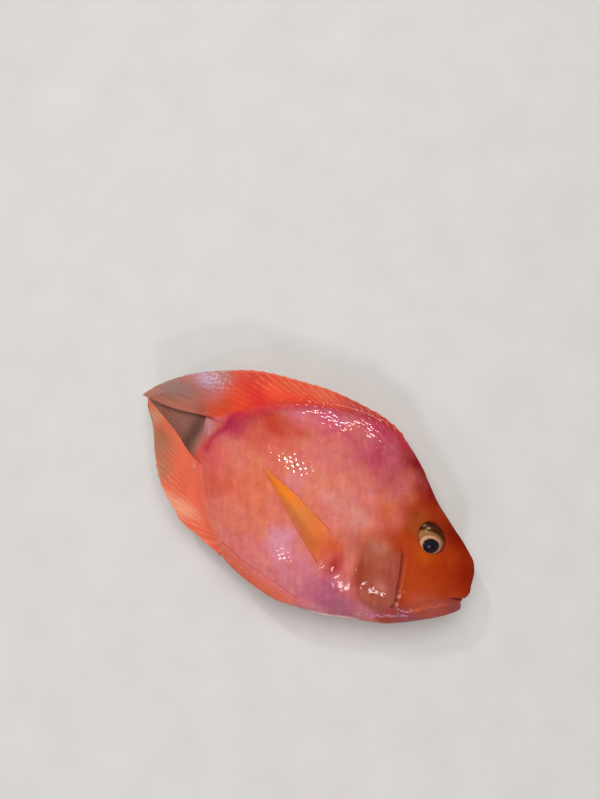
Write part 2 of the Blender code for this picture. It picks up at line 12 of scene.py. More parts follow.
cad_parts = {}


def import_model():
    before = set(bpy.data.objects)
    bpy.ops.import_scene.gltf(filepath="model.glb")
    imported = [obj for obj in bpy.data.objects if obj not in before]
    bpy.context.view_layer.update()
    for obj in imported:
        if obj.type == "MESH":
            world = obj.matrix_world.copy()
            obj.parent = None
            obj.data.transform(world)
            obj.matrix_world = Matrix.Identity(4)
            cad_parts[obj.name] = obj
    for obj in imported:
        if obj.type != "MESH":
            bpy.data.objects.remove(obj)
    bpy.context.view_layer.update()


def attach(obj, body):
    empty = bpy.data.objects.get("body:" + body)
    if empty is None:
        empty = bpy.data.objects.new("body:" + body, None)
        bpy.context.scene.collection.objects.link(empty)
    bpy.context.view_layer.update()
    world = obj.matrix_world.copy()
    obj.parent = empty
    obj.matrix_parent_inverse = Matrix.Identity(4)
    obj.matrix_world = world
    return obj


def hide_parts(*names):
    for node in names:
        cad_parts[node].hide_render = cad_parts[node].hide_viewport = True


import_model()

MM = 0.001
SEED = 11

# The fish's shape, from the same sizes as its solids.
SNOUT = -0.3
MIDDLE_S = 56.0
MIDDLE_H = 3.1
MAX_HALF_WIDTH = 14.0
MID_Z = MAX_HALF_WIDTH - 0.35
GAP = 0.32
FLESH_END = 91.6
BACK = [
    (SNOUT, -1.0), (0.5, 3.4), (1.1, 6.5), (2.7, 9.9), (5.8, 12.5), (12.9, 16.2), (21.5, 20.8),
    (31.0, 27.6), (38.0, 31.0), (44.0, 32.1), (52.0, 31.9), (60.0, 29.3), (68.0, 25.9),
    (75.0, 21.2), (82.0, 14.8), (87.0, 9.5), (90.0, 7.3), (FLESH_END, 6.8),
]
BELLY = [
    (SNOUT, -1.0), (0.6, -4.2), (2.1, -5.9), (5.4, -9.2), (10.2, -13.2), (16.5, -17.7),
    (24.6, -21.3), (34.0, -25.4), (44.0, -27.5), (55.6, -27.5), (66.0, -25.2), (75.0, -20.2),
    (82.0, -13.0), (87.0, -7.6), (90.0, -5.6), (FLESH_END, -5.0),
]
HALF_WIDTH = [
    (SNOUT, 0.0), (1.0, 3.4), (3.2, 5.6), (6.6, 7.6), (14.0, 10.4), (25.0, 12.9), (33.0, 13.7),
    (42.0, MAX_HALF_WIDTH), (52.0, 13.0), (62.0, 10.6), (72.0, 7.6), (80.0, 5.2), (87.0, 3.2),
    (FLESH_END, 2.0),
]
BACK_SHARPNESS = [(SNOUT, 1.0), (20.0, 1.06), (40.0, 1.2), (FLESH_END, 1.25)]
BELLY_SHARPNESS = [(SNOUT, 1.0), (20.0, 1.1), (40.0, 1.06), (60.0, 1.2), (FLESH_END, 1.25)]
DROOP = 0.0022
DROOP_START = 85.0
PEDUNCLE_TOP = (91.0, 7.2)
PEDUNCLE_SLANT = 0.28

GILL_EDGE = [
    (28.0, 33.0), (31.8, 18.0), (33.4, 6.0), (32.9, -4.0), (30.6, -11.0), (28.0, -14.4),
    (24.0, -17.4), (17.0, -24.0),
]
GILL_COVER = [
    (29.4, 4.9), (25.6, 3.4), (22.8, -0.4), (20.4, -5.6), (19.0, -8.6), (17.9, -12.4),
    (20.0, -15.3), (24.8, -16.2), (29.4, -14.5), (32.0, -11.0), (33.8, -5.6), (34.2, 0.2),
    (32.6, 4.0),
]
MOUTH_FRONT_H = 0.8
MOUTH_CORNER = (4.2, -1.7)
EYE_S = 18.2
EYE_H = 9.65
EYE_RADIUS = 5.1
EYE_SUNK = 2.4
PUPIL_AT = (17.65, 7.3, 11.5)
NOSTRIL_AT = (9.4, 6.8)

DORSAL_ROOT = (35.0, 87.6)
DORSAL_EDGE = [
    (35.4, 30.0), (40.5, 32.7), (45.4, 33.7), (58.4, 33.5), (65.4, 32.6), (76.2, 29.8),
    (84.1, 27.4), (94.2, 21.7), (103.5, 14.9), (110.8, 6.2), (113.0, 1.8),
]
DORSAL_LAST_RAY = [(90.6, 6.6), (94.6, 5.6), (100.5, 3.7), (106.5, 2.4)]
ANAL_ROOT = (66.0, 85.6)
ANAL_EDGE = [
    (67.2, -26.3), (76.7, -24.6), (81.7, -24.0), (86.6, -21.6), (93.6, -17.2), (99.0, -11.7),
    (104.3, -4.9), (108.6, -0.5), (111.3, 2.2),
]
ANAL_LAST_RAY = [(90.3, -5.6), (97.0, -2.6), (103.2, -0.5), (108.2, 1.1)]
CAUDAL_ROOT = (-6.4, 6.7)
CAUDAL_EDGE = [(100.5, -6.6), (106.8, -3.0), (111.2, 2.2), (108.0, 6.0), (101.5, 9.4)]
LOBE_LIFT = 1.5
LOBE_START = 84.0
CAUDAL_DROP = 0.9
PECTORAL_UPPER = [(40.6, -4.5), (46.4, -3.0), (56.6, -0.3), (69.4, 2.0)]
PECTORAL_LOWER = [(38.9, -15.8), (43.0, -12.9), (50.4, -9.3), (59.0, -4.4), (69.1, 1.2)]
PECTORAL_BASE = (38.8, -10.2)
PECTORAL_BASE_SIZE = (3.4, 6.4, 0.85)
PELVIC_ROOT_S = 38.5
PELVIC_LENGTH = 30.0
PELVIC_ANGLE = -69.0
PELVIC_WIDTH = 5.0
DEGREES_PER_MM = 3.4
PELVIC_BASE_SIZE = (3.0, 2.4, 1.0)

SKIN_SUNK = 0.12
SKIN_FLOOR = 0.16
SCALE_FLOOR = 0.02
SEAT_DEPTH = 1.32


def smooth_step(value):
    value = np.clip(value, 0.0, 1.0)
    return value * value * (3 - 2 * value)


def bump_of(value):
    """A smooth bump: 1 at 0, and nearly 0 past 2 either way."""
    return np.exp(-np.square(value))


def smooth_curve(points, s):
    """The value at s of a smooth line through the points. It can leave the snout upright."""
    stations = np.sqrt(np.array([point[0] for point in points]) - SNOUT)
    values = np.array([point[1] for point in points])
    slopes = np.gradient(values, stations)
    at = np.sqrt(np.clip(np.asarray(s, float) - SNOUT, 0.0, None))
    left = np.clip(np.searchsorted(stations, at) - 1, 0, len(stations) - 2)
    span = stations[left + 1] - stations[left]
    t = np.clip((at - stations[left]) / span, 0.0, 1.0)
    start = values[left] * (1 + 2 * t) * (1 - t) ** 2 + slopes[left] * span * t * (1 - t) ** 2
    end = values[left + 1] * (3 - 2 * t) * t**2 - slopes[left + 1] * span * t**2 * (1 - t)
    return start + end


def smooth_path(points, count):
    """count points, evenly spaced, along a smooth path through the given ones."""
    points = np.array(points, float)
    steps = np.linalg.norm(np.diff(points, axis=0), axis=1)
    along = np.concatenate([[0.0], np.cumsum(steps)])
    slopes = np.gradient(points, along, axis=0)
    at = np.linspace(0.0, along[-1], count)
    left = np.clip(np.searchsorted(along, at) - 1, 0, len(along) - 2)
    span = steps[left]
    t = ((at - along[left]) / span)[:, None]
    span = span[:, None]
    start = points[left] * (1 + 2 * t) * (1 - t) ** 2 + slopes[left] * span * t * (1 - t) ** 2
    end = points[left + 1] * (3 - 2 * t) * t**2 - slopes[left + 1] * span * t**2 * (1 - t)
    return start + end


def flesh_offset(s, angle):
    """Height, and distance from the middle plane, of the flesh at s and an angle about the axis."""
    top = smooth_curve(BACK, s)
    bottom = smooth_curve(BELLY, s)
    width = np.maximum(smooth_curve(HALF_WIDTH, s), 0.02)
    lift = np.sin(angle)
    across = np.cos(angle)
    power = np.where(lift > 0, smooth_curve(BACK_SHARPNESS, s), smooth_curve(BELLY_SHARPNESS, s))
    h = (top + bottom) / 2 + (top - bottom) / 2 * lift
    return h, width * np.sign(across) * np.abs(across) ** power


def flank(s, h):
    """Distance of the flank from the middle plane at s and h."""
    top = smooth_curve(BACK, s)
    bottom = smooth_curve(BELLY, s)
    share = (h - (top + bottom) / 2) / np.maximum((top - bottom) / 2, 0.01)
    return flesh_offset(s, np.arcsin(np.clip(share, -1.0, 1.0)))[1]


def flank_normal(s, h):
    """The unit normal of the right flank, as its parts along s, along h and outward."""
    step = 0.2
    slope_s = (flank(s + step, h) - flank(s - step, h)) / (2 * step)
    slope_h = (flank(s, h + step) - flank(s, h - step)) / (2 * step)
    normal = np.array([-slope_s, -slope_h, 1.0])
    return normal / np.linalg.norm(normal)


def mid_plane(s):
    """Height of the fish's middle plane over the floor, which sinks a little along the tail."""
    return MID_Z - DROOP * np.clip(np.asarray(s, float) - DROOP_START, 0.0, None) ** 2


def world(s, h, out, lowest=0.0):
    """Metres in the model's frame, no lower than lowest millimetres over the floor."""
    s, h, out = np.broadcast_arrays(np.asarray(s, float), h, out)
    z = np.maximum(mid_plane(s) + out, lowest)
    return np.stack([MIDDLE_S - s, h - MIDDLE_H, z], axis=-1) * MM


def path_distance(path, s, h):
    """Distance from points to a path, and how far along it the nearest place is, from 0 to 1."""
    path = np.asarray(path, float)
    best = np.full(np.shape(s), 1e9)
    place = np.zeros(np.shape(s))
    count = len(path) - 1
    for index in range(count):
        start = path[index]
        along = path[index + 1] - start
        t = ((s - start[0]) * along[0] + (h - start[1]) * along[1]) / (along @ along)
        t = np.clip(t, 0.0, 1.0)
        gap = np.hypot(s - start[0] - t * along[0], h - start[1] - t * along[1])
        nearer = gap < best
        best = np.where(nearer, gap, best)
        place = np.where(nearer, (index + t) / count, place)
    return best, place


def inside(outline, s, h):
    """Signed distance to a closed outline: above 0 inside it."""
    outline = np.asarray(outline, float)
    closed = np.concatenate([outline, outline[:1]])
    gap = path_distance(closed, s, h)[0]
    within = np.zeros(np.shape(s), bool)
    for (s0, h0), (s1, h1) in zip(closed[:-1], closed[1:]):
        if h0 == h1:
            continue
        crosses = (h0 > h) != (h1 > h)
        within ^= crosses & (s < s0 + (h - h0) * (s1 - s0) / (h1 - h0))
    return np.where(within, gap, -gap)


def smooth_noise(s, h, out, size, seed):
    """Smooth noise between about -1 and 1, with lumps of the given size: a sum of plane waves."""
    draw = np.random.default_rng(seed)
    total = np.zeros(np.shape(s))
    for _ in range(9):
        direction = draw.normal(size=3)
        direction *= draw.uniform(0.6, 1.5) / (np.linalg.norm(direction) * size)
        phase = draw.uniform(0.0, 2 * np.pi)
        wave = direction[0] * s + direction[1] * h + direction[2] * out
        total = total + np.sin(2 * np.pi * wave + phase)
    return total / 4.5


# Markings, some of them painted highlights, reflections and shade. Colours are as the eye sees them, from 0 to 255.

def linear(colour):
    """A colour from 0 to 255 as light, from 0 to 1."""
    share = np.asarray(colour, float) / 255.0
    return np.where(share <= 0.04045, share / 12.92, ((share + 0.055) / 1.055) ** 2.4)


FLANK_COLOUR = (213, 119, 110)
# Each patch: its colour, its middle in s and h, its reach along s and h, and its strength.
FLANK_PATCHES = [
    ((220, 116, 86), 70, -5, 12, 12, 0.9),
    ((220, 114, 92), 69, 11, 8, 6, 0.85),
    ((194, 56, 40), 75, 14.6, 8.5, 4, 0.9),
    ((204, 84, 66), 76, 8, 5, 4, 0.75),
    ((202, 84, 66), 67, 17, 4, 3, 0.8),
    ((180, 44, 76), 83.8, 9.5, 4.5, 6, 0.92),
    ((208, 84, 82), 86, -3, 5, 6, 0.8),
    ((214, 108, 82), 63, -17, 4, 3.5, 0.7),
    ((208, 86, 68), 79, -10, 6, 5, 0.8),
    ((218, 120, 104), 73, -16, 6, 5, 0.8),
    ((222, 132, 108), 54, 5, 7, 6, 0.6),
    # Painted reflection: a lilac patch on the mid flank, where the wet film mirrors pale light.
    ((218, 126, 132), 59, 2, 3, 5, 0.7),
    ((216, 140, 132), 46, 5, 4, 4, 0.7),
    ((212, 142, 136), 38.5, 3, 3, 3.5, 0.8),
    ((180, 99, 82), 36, -3.5, 2.5, 3, 0.8),
    ((224, 120, 142), 69, 21, 4, 3, 0.75),
    # Partly painted highlight: the upper back's own pink-magenta, lightened by the sheen of its glints.
    ((204, 110, 140), 62, 26, 7, 3.5, 0.8),
    ((210, 88, 114), 58, 22, 7, 4, 0.7),
    ((180, 58, 92), 43, 21.5, 8, 8, 0.9),
    ((184, 80, 86), 36, 18, 4, 6, 0.8),
    ((206, 104, 122), 38, 25, 3.6, 3.4, 0.85),
    ((208, 104, 118), 50, 22.6, 4, 4, 0.75),
    ((212, 122, 104), 45, 14, 4, 4, 0.75),
    ((200, 104, 72), 34, 9, 3.5, 4, 0.8),
    # Painted reflection: a pale lilac patch low on the flank, where the wet film mirrors pale light.
    ((218, 150, 182), 54, -14, 3.5, 5, 0.8),
    ((214, 128, 146), 48, -19, 10, 6, 0.85),
    ((188, 98, 134), 37, -19, 6, 6, 0.9),
    ((178, 100, 128), 30, -20, 6, 4, 0.9),
    ((220, 122, 120), 60, -22, 8, 5, 0.8),
    ((194, 84, 36), 41, -6.5, 2.8, 3, 0.85),
    ((172, 46, 38), 38.3, -10.5, 2.4, 3.4, 0.9),
    # The belly edge's own paler skin, lightened further as a painted highlight along that edge.
    ((206, 146, 164), 36, -25, 7, 1.6, 0.5),
    ((186, 128, 140), 91.3, 3, 2.0, 8, 0.95),
    ((204, 54, 104), 46, 30, 10, 2.6, 0.85),
    # Painted shade: deep crimson, darkened further along the steep nape edge where it falls into shade.
    ((150, 8, 22), 30.5, 26.5, 8, 4.2, 1.0),
]
# Painted shade, in part: the head's own orange-red is painted darker than the trunk's, as the head lies in shade, and
# it is darkest in the first patches, along the nape and forehead edge.
HEAD_COLOUR = (172, 62, 20)
HEAD_PATCHES = [
    ((150, 14, 18), 25.5, 21.6, 6, 4.6, 1.0),
    ((136, 26, 6), 11.5, 14, 8, 4.0, 0.95),
    ((152, 72, 36), 24.5, 11, 3.5, 4, 0.85),
    ((166, 53, 6), 12, 3, 6, 5, 0.9),
    ((182, 84, 12), 18, 4.5, 3, 3.5, 0.7),
    ((144, 32, 8), 4.5, 6, 5, 6, 0.9),
    ((174, 68, 22), 16, -4, 6, 5, 0.8),
    ((188, 86, 64), 12, -8, 4, 3.5, 0.8),
    ((172, 82, 82), 7, -7, 3.5, 3, 0.85),
    ((158, 74, 84), 13, -13, 7, 2.6, 0.9),
    ((160, 60, 64), 20, -14, 4, 2.5, 0.9),
    ((174, 122, 186), 26, -18, 5, 3, 0.9),
    ((142, 72, 74), 3, -3.4, 3, 1.8, 0.85),
]
GILL_COLOUR = (166, 86, 69)
GILL_PATCHES = [
    ((180, 114, 90), 30, 0, 3, 3, 0.8),
    # Painted shadow: darker brown along the rear edge of the plate.
    ((150, 55, 38), 31, -10, 2.6, 4, 0.8),
    ((162, 76, 68), 24, -4, 2, 4, 0.6),
    # Painted highlight: a pale glint on the plate.
    ((184, 108, 96), 24, -9.6, 2.2, 1.4, 0.7),
    ((178, 90, 82), 27.6, -13.6, 2.6, 1.6, 0.7),
]
DORSAL_COLOUR = (216, 68, 48)
DORSAL_PATCHES = [
    ((160, 110, 100), 106, 7, 12, 10, 1.0),
    ((180, 50, 56), 45, 33, 9, 4, 0.9),
    ((176, 80, 76), 56, 33, 7, 4, 0.85),
    ((206, 106, 78), 66, 30.5, 6, 3, 0.8),
    ((213, 100, 68), 76, 28, 6, 3, 0.8),
    ((230, 90, 60), 80, 24, 4, 3.5, 0.7),
    ((204, 47, 48), 83, 19, 5, 3, 0.8),
    ((214, 80, 46), 87.5, 17, 3, 3, 0.8),
    ((190, 74, 36), 91, 11.0, 4, 4, 0.9),
    ((178, 108, 106), 95.5, 14, 4, 4, 0.85),
    ((176, 128, 118), 96, 19.5, 4, 3, 0.85),
    ((148, 76, 64), 95.5, 7, 3.4, 2.4, 0.9),
    ((156, 110, 100), 101, 9.5, 5, 4, 0.95),
    ((176, 110, 92), 103.5, 4.8, 6, 2.6, 0.95),
    # Painted reflection: a pale lilac sheen on the soft lobe, where its wet membrane mirrors light.
    ((186, 162, 196), 99.5, 16, 4.0, 2.6, 0.85),
    ((148, 116, 110), 107, 8, 5, 4, 0.95),
    ((168, 108, 92), 111.5, 3.6, 4, 3, 1.0),
    ((166, 102, 88), 98.5, 4.6, 5, 1.8, 0.9),
    ((178, 114, 96), 106, 13.5, 5, 2.0, 0.8),
]
ANAL_COLOUR = (216, 106, 80)
ANAL_PATCHES = [
    ((226, 162, 134), 86, -20.5, 7, 2.4, 0.9),
    ((158, 116, 88), 96, -15, 4, 4, 0.9),
    ((172, 116, 88), 99, -9, 4, 5, 0.85),
    ((164, 112, 78), 102, -6.5, 3.5, 3.5, 0.75),
    ((198, 154, 122), 106, -2.0, 3, 2.5, 0.85),
]
CAUDAL_COLOUR = (144, 100, 86)
CAUDAL_PATCHES = [
    # Painted shadow: dark brown over the fin's base, where it lies in shade under the lobes.
    ((90, 62, 54), 93.5, 1, 2.2, 8, 0.9),
    ((150, 86, 66), 105, 1, 3, 3, 0.6),
]
PECTORAL_COLOUR = (222, 124, 62)
PECTORAL_PATCHES = [
    ((212, 136, 76), 54, -4, 5, 4, 0.7),
    ((236, 138, 36), 61, -1.4, 7, 2.6, 0.9),
    ((200, 100, 54), 43, -8, 4, 4, 0.7),
    ((196, 58, 30), 40, -10, 3, 5, 0.8),
]
PELVIC_COLOUR = (204, 108, 84)
PELVIC_PATCHES = [
    ((206, 116, 84), 42, -28.5, 10, 1.2, 0.7),
    ((204, 96, 76), 60, -25, 9, 4, 0.6),
]


def painted(colour, patches, s, h):
    """A colour in light at each place: a ground colour with soft patches laid over it in turn."""
    shade = np.broadcast_to(linear(colour), np.shape(s) + (3,)).copy()
    for patch, s0, h0, reach_s, reach_h, strength in patches:
        ds = (s - s0) / reach_s
        dh = (h - h0) / reach_h
        share = strength * np.exp(-((ds * ds + dh * dh) ** 1.3))
        shade += (linear(patch) - shade) * share[..., None]
    return shade


# Each line of colour: its path, its colour, its half width, its strength and how broken it is. The throat, bead, fold
# and cheek lines are painted highlights: pale streaks and beads where the wet skin, the jaw's ridge and the edge of
# the cheek catch light.
BACK_LINE = [
    (36.5, 29.2), (44.0, 31.4), (52.0, 31.0), (60.0, 28.7), (68.0, 25.1), (75.0, 20.4), (80.0, 16.2),
    (84.5, 12.2),
]
REAR_LINE = [(80.0, 19.5), (85.2, 15.2), (85.9, 10.5), (85.2, 7.0), (87.3, 2.0), (87.0, -2.0)]
THROAT_HIGHLIGHT = [(25.5, -19.4), (22.5, -18.4), (18.0, -15.4), (13.0, -12.4)]
BEAD_HIGHLIGHTS = [(17.9, -7.6), (18.2, -10.2), (16.6, -12.0), (13.9, -12.0), (13.2, -10.7)]
FOLD_HIGHLIGHT = [(12.5, -10.4), (11.3, -9.2), (9.3, -7.4), (7.0, -5.6), (5.4, -3.9)]
CHEEK_HIGHLIGHT = [(21.8, 1.0), (21.0, -1.8), (19.8, -5.0), (18.9, -7.8)]
LINES = [
    (BACK_LINE, (194, 44, 58), 2.1, 0.8, 0.3),
    (REAR_LINE, (168, 24, 66), 1.2, 0.8, 0.2),
    (THROAT_HIGHLIGHT, (216, 156, 190), 0.5, 0.7, 0.9),
    (BEAD_HIGHLIGHTS, (240, 168, 172), 0.36, 0.75, 1.4),
    (FOLD_HIGHLIGHT, (224, 118, 84), 0.4, 0.55, 0.6),
    (CHEEK_HIGHLIGHT, (204, 96, 72), 0.45, 0.35, 0.4),
]
# Painted highlight: a near-white streak along the edge of the throat and breast, where the wet edge shines.
KEEL_HIGHLIGHT_LINE = [(40.0, -27.1), (36.5, -26.4), (33.0, -25.2), (30.2, -24.2), (26.0, -21.8), (21.5, -20.0)]
KEEL_HIGHLIGHT_COLOUR = (250, 236, 248)

GILL_OUTLINE = smooth_path(GILL_COVER + GILL_COVER[:1], 90)[:-1]
GILL_LINE = smooth_path(GILL_EDGE, 60)


def behind_gill(s, h):
    """How far a place lies behind the gill opening, in millimetres along s."""
    order = np.argsort(GILL_LINE[:, 1])
    return s - np.interp(h, GILL_LINE[order, 1], GILL_LINE[order, 0])


def add_lines(shade, s, h, out):
    """Lays the lines of colour over the markings of the skin, some of them painted highlights, and last the painted
    highlight along the keel.
    """
    for path, colour, width, strength, broken in LINES:
        gap = path_distance(smooth_path(path, 14), s, h)[0]
        share = strength * bump_of(gap / width)
        share = share * smooth_step(1.0 - broken * (0.4 + smooth_noise(s, h, out, 1.7, SEED + 15)))
        shade = shade + (linear(colour) - shade) * share[..., None]
    gap, place = path_distance(smooth_path(KEEL_HIGHLIGHT_LINE, 14), s, h)
    ends = smooth_step(place / 0.35) * smooth_step((1 - place) / 0.45)
    keel_highlight = ends * bump_of(gap / 1.2) * smooth_step((out + 0.4) / 1.2) * (1 - smooth_step((out - 2.2) / 1.6))
    keel_highlight = keel_highlight * (0.85 + 0.3 * smooth_noise(s, h, out, 2.2, SEED + 16))
    return shade + (linear(KEEL_HIGHLIGHT_COLOUR) - shade) * np.clip(keel_highlight, 0, 1)[..., None]


def body_tint(s, h, out):
    """The markings of the skin and of its scales, with painted highlights, reflections and shade among them."""
    drift = smooth_noise(s, h, out, 9.0, SEED)
    flank_shade = painted(FLANK_COLOUR, FLANK_PATCHES, s + drift, h + drift)
    head_shade = painted(HEAD_COLOUR, HEAD_PATCHES, s + 0.4 * drift, h)
    gill_shade = painted(GILL_COLOUR, GILL_PATCHES, s, h)
    back = smooth_step((behind_gill(s, h) + 7.0 + 2.0 * drift) / 9.5)
    shade = head_shade + (flank_shade - head_shade) * back[..., None]
    plate = np.zeros(np.shape(s))
    near = (np.abs(s - 26.0) < 12.0) & (np.abs(h + 5.6) < 13.0)
    plate[near] = smooth_step(inside(GILL_OUTLINE, s[near], h[near]) / 2.6 + 0.5)
    plate = plate * (1 - 0.9 * smooth_step((h + 1.5) / 5.0))
    shade = shade + (gill_shade - shade) * plate[..., None]
    across = 0.854 * s - 0.52 * h
    along = 0.52 * s + 0.854 * h
    streak = smooth_noise(across, 0.3 * along, 0.5 * out, 2.4, SEED + 5)[..., None]
    blotch = smooth_noise(s, h, out, 4.0, SEED + 1)[..., None]
    warm = smooth_noise(s, h, out, 6.5, SEED + 9)[..., None]
    strong = np.maximum(back, 1.5 * plate)[..., None]
    shade = shade * (1.0 + streak * np.array([0.03, 0.14, 0.12]) * strong)
    shade = add_lines(shade, s, h, out)
    shade = shade * (1.0 + warm * np.array([0.0, 0.03, -0.10]))
    return np.clip(shade * (1.0 + blotch * np.array([0.02, 0.07, 0.08])), 0.0, 0.95)


NAPE_LINE = [(1.0, 5.0), (3.0, 10.0), (12.0, 15.6), (21.0, 20.4), (31.0, 27.4), (38.0, 30.8), (46.0, 32.0)]


def wetness(s, h):
    """How strongly the film of slime shines: less along the steep forehead and nape."""
    gap = path_distance(NAPE_LINE, s, h)[0]
    return 1.0 - 0.85 * smooth_step((7.0 - gap) / 4.5) * smooth_step((44.0 - s) / 8.0)


def scaled_zone(s, h):
    """How far inside the scaled skin a place lies. The scales reach forward along the nape."""
    return behind_gill(s, h) - 1.3 + 6.5 * smooth_step((h - 9.0) / 8.0)


# Relief of the skin: what stands out from the plain flesh or sinks into it.

# Each fold: its path in s and h, its depth (below 0 for a ridge) and its width.
HEAD_FOLDS = [
    ([(4.5, -2.4), (5.6, -3.8), (6.0, -5.6), (5.4, -7.0)], 0.16, 0.5),
    ([(7.5, -3.9), (9.6, -7.1), (11.6, -9.8), (13.6, -12.0)], -0.20, 0.9),
    ([(8.6, -3.8), (10.6, -7.0), (12.9, -9.8), (15.0, -11.8)], 0.14, 0.5),
    ([(18.1, -11.4), (15.8, -12.2), (13.2, -12.2), (10.6, -11.4)], 0.18, 0.5),
    ([(19.0, -13.9), (16.4, -14.2), (13.4, -13.8)], 0.14, 0.4),
    ([(33.9, -24.4), (29.6, -22.6), (25.4, -20.2), (21.0, -17.6)], 0.22, 0.5),
    ([(30.5, -21.0), (28.6, -18.4), (25.6, -18.6), (22.0, -17.0)], 0.16, 0.4),
    ([(12.2, 5.2), (12.6, 2.4), (14.4, 0.2), (17.4, -0.9), (20.8, 0.0)], 0.05, 0.8),
    ([(3.4, 1.8), (5.4, 0.6), (7.4, -1.2), (8.2, -3.2)], 0.08, 0.7),
    ([(23.6, 15.4), (26.8, 11.6), (29.4, 8.0)], 0.06, 0.8),
    ([(25.4, -10.8), (23.6, -9.6), (22.0, -9.4), (21.7, -11.2)], -0.16, 0.5),
    ([(26.0, 2.6), (27.2, -2.0), (28.6, -6.6), (29.0, -10.6)], 0.05, 0.9),
]
PORES = [
    (12.4, 8.6), (12.0, 5.6), (13.2, 2.6), (15.6, 0.6), (18.6, 0.2), (19.4, -3.4), (17.9, -6.6),
    (16.9, -9.8), (14.2, -9.0), (10.8, -6.0), (8.2, 9.4), (12.6, 12.6), (23.4, 11.8),
]
PORE_RADIUS = 0.2
PORE_DEPTH = 0.07
GROOVE = [
    (25.6, 3.6), (23.6, 1.4), (22.7, -0.3), (21.9, -2.0), (20.6, -5.0), (19.5, -8.0), (18.3, -10.6),
    (18.0, -12.6), (19.0, -14.6),
]
GROOVE_LINE = smooth_path(GROOVE, 40)


def mouth_relief(s, h, out):
    """The lips, the set-back front of the lower jaw and the line of the mouth, and the painted shade along that line.
    """
    corner_out = flank(MOUTH_CORNER[0], MOUTH_CORNER[1])
    across = np.abs(out) / corner_out
    line = MOUTH_FRONT_H + (MOUTH_CORNER[1] - MOUTH_FRONT_H) * np.minimum(across, 1.3) ** 1.4
    off = h - line
    here = (s < 9.0) * (1 - smooth_step((across - 0.9) / 0.25))
    front = (1 - smooth_step((s - 1.0) / 3.4)) * (1 - smooth_step((across - 0.25) / 0.5))
    upper = 0.3 * bump_of((off - 2.2) / 1.3)
    lower = 0.2 * bump_of((off + 3.4) / 1.1) - 1.5 * front * bump_of((off + 1.3) / 1.6)
    slit = bump_of(off / 0.3)
    return here * (upper + lower - 0.8 * slit), here * bump_of(off / 0.36)


def eye_relief(s, h, side_out):
    """The sunk bed of the eye with its low rim, and the painted shade round the ball, deeper above."""
    normal = flank_normal(EYE_S, EYE_H)
    centre = np.array([EYE_S, EYE_H, flank(EYE_S, EYE_H)])
    offset = np.stack([s, h, side_out], axis=-1) - centre
    along = offset @ normal
    away = np.linalg.norm(offset - along[..., None] * normal, axis=-1)
    near = np.abs(along) < 6.0
    ring = np.sqrt(EYE_RADIUS**2 - EYE_SUNK**2)
    bed = -1.6 * smooth_step((ring + 0.1 - away) / 0.5)
    rim = 0.18 * bump_of((away - ring - 0.7) / 0.75)
    upper = 0.3 + 0.7 * smooth_step((offset[..., 1] - 0.5 * offset[..., 0] + 2.0) / 3.0)
    return near * (bed + rim), near * upper * bump_of((away - ring + 0.02) / 0.2)


def nostril_relief(s, h, side_out):
    s0, h0 = NOSTRIL_AT
    away = np.sqrt((s - s0) ** 2 + (h - h0) ** 2 + (side_out - flank(s0, h0)) ** 2)
    rim = 0.1 * bump_of((away - 0.6) / 0.3)
    pit = smooth_step((0.42 - away) / 0.34)
    # Painted shade in the nostril's pit.
    return rim - 0.4 * pit, 0.5 * pit


def gill_relief(s, h):
    """The gill cover: a groove ahead of it, its raised plate, and its free edge behind."""
    depth = inside(GILL_OUTLINE, s, h)
    ahead = smooth_step(0.5 + ((26.4 - s) * 0.9 + (h + 5.0) * -0.28) / 5.0)
    plate = smooth_step((depth + 1.0) / 2.8) * (1 - ahead) + smooth_step(depth / 2.4) * ahead
    plate = plate * (1 - smooth_step((h + 1.5) / 5.5))
    gap, place = path_distance(GROOVE_LINE, s, h)
    fade = smooth_step(place / 0.2) * smooth_step((1 - place) / 0.12)
    groove = fade * bump_of(gap / (0.34 + 0.14 * smooth_noise(s, h, 0 * s, 2.0, SEED + 6)))
    low_side = smooth_step((2.0 - h) / 6.0)
    slit = (1 - ahead) * low_side * bump_of((depth + 0.85) / 0.6)
    lumps = smooth_step(depth / 1.5) * 0.07 * smooth_noise(s, h, 0 * s, 3.4, SEED + 2)
    cheek = 0.2 * fade * bump_of((gap - 1.1) / 0.8) * (depth < 0)
    lift = 0.42 * plate + SKIN_SUNK * smooth_step(depth / 2.0) + lumps + cheek - 0.5 * groove - 0.12 * slit
    # The groove and the slit also get painted shade.
    return lift, np.maximum(groove, 0.1 * slit)


def opening_relief(s, h):
    """The gill opening above and below the cover, where the head's skin meets the trunk's."""
    gap, place = path_distance(GILL_LINE, s, h)
    above = smooth_step((h - 3.0) / 1.5) * (1 - smooth_step((h - 6.0) / 4.0))
    below = smooth_step((-13.0 - h) / 1.5) * (1 - smooth_step((-20.5 - h) / 3.0))
    dark = np.maximum(0.4 * above, 0.3 * below) * bump_of(gap / 0.36)
    # Painted shade along the opening.
    return -0.2 * dark, 0.3 * dark


def fold_relief(s, h):
    # Folds and pores sink, and the sunk folds and the pores get painted shade.
    lift = np.zeros(np.shape(s))
    dark = np.zeros(np.shape(s))
    for path, depth, width in HEAD_FOLDS:
        gap, place = path_distance(smooth_path(path, 16), s, h)
        fade = smooth_step(place / 0.25) * smooth_step((1 - place) / 0.3)
        line = fade * bump_of(gap / width)
        lift -= depth * line
        dark = np.maximum(dark, max(0.0, depth) * 1.6 * line)
    for s0, h0 in PORES:
        pit = bump_of(np.hypot(s - s0, h - h0) / PORE_RADIUS)
        lift -= PORE_DEPTH * pit
        dark = np.maximum(dark, 0.25 * pit)
    return lift, dark


def swelling(s, h, side_out, centre, size):
    """A smooth swelling with the given half length, half height and rise."""
    s0, h0, out0 = centre
    ds = (s - s0) / size[0]
    dh = np.hypot(h - h0, side_out - out0) / size[1]
    return size[2] * np.exp(-1.4 * (ds**2 + dh**2))


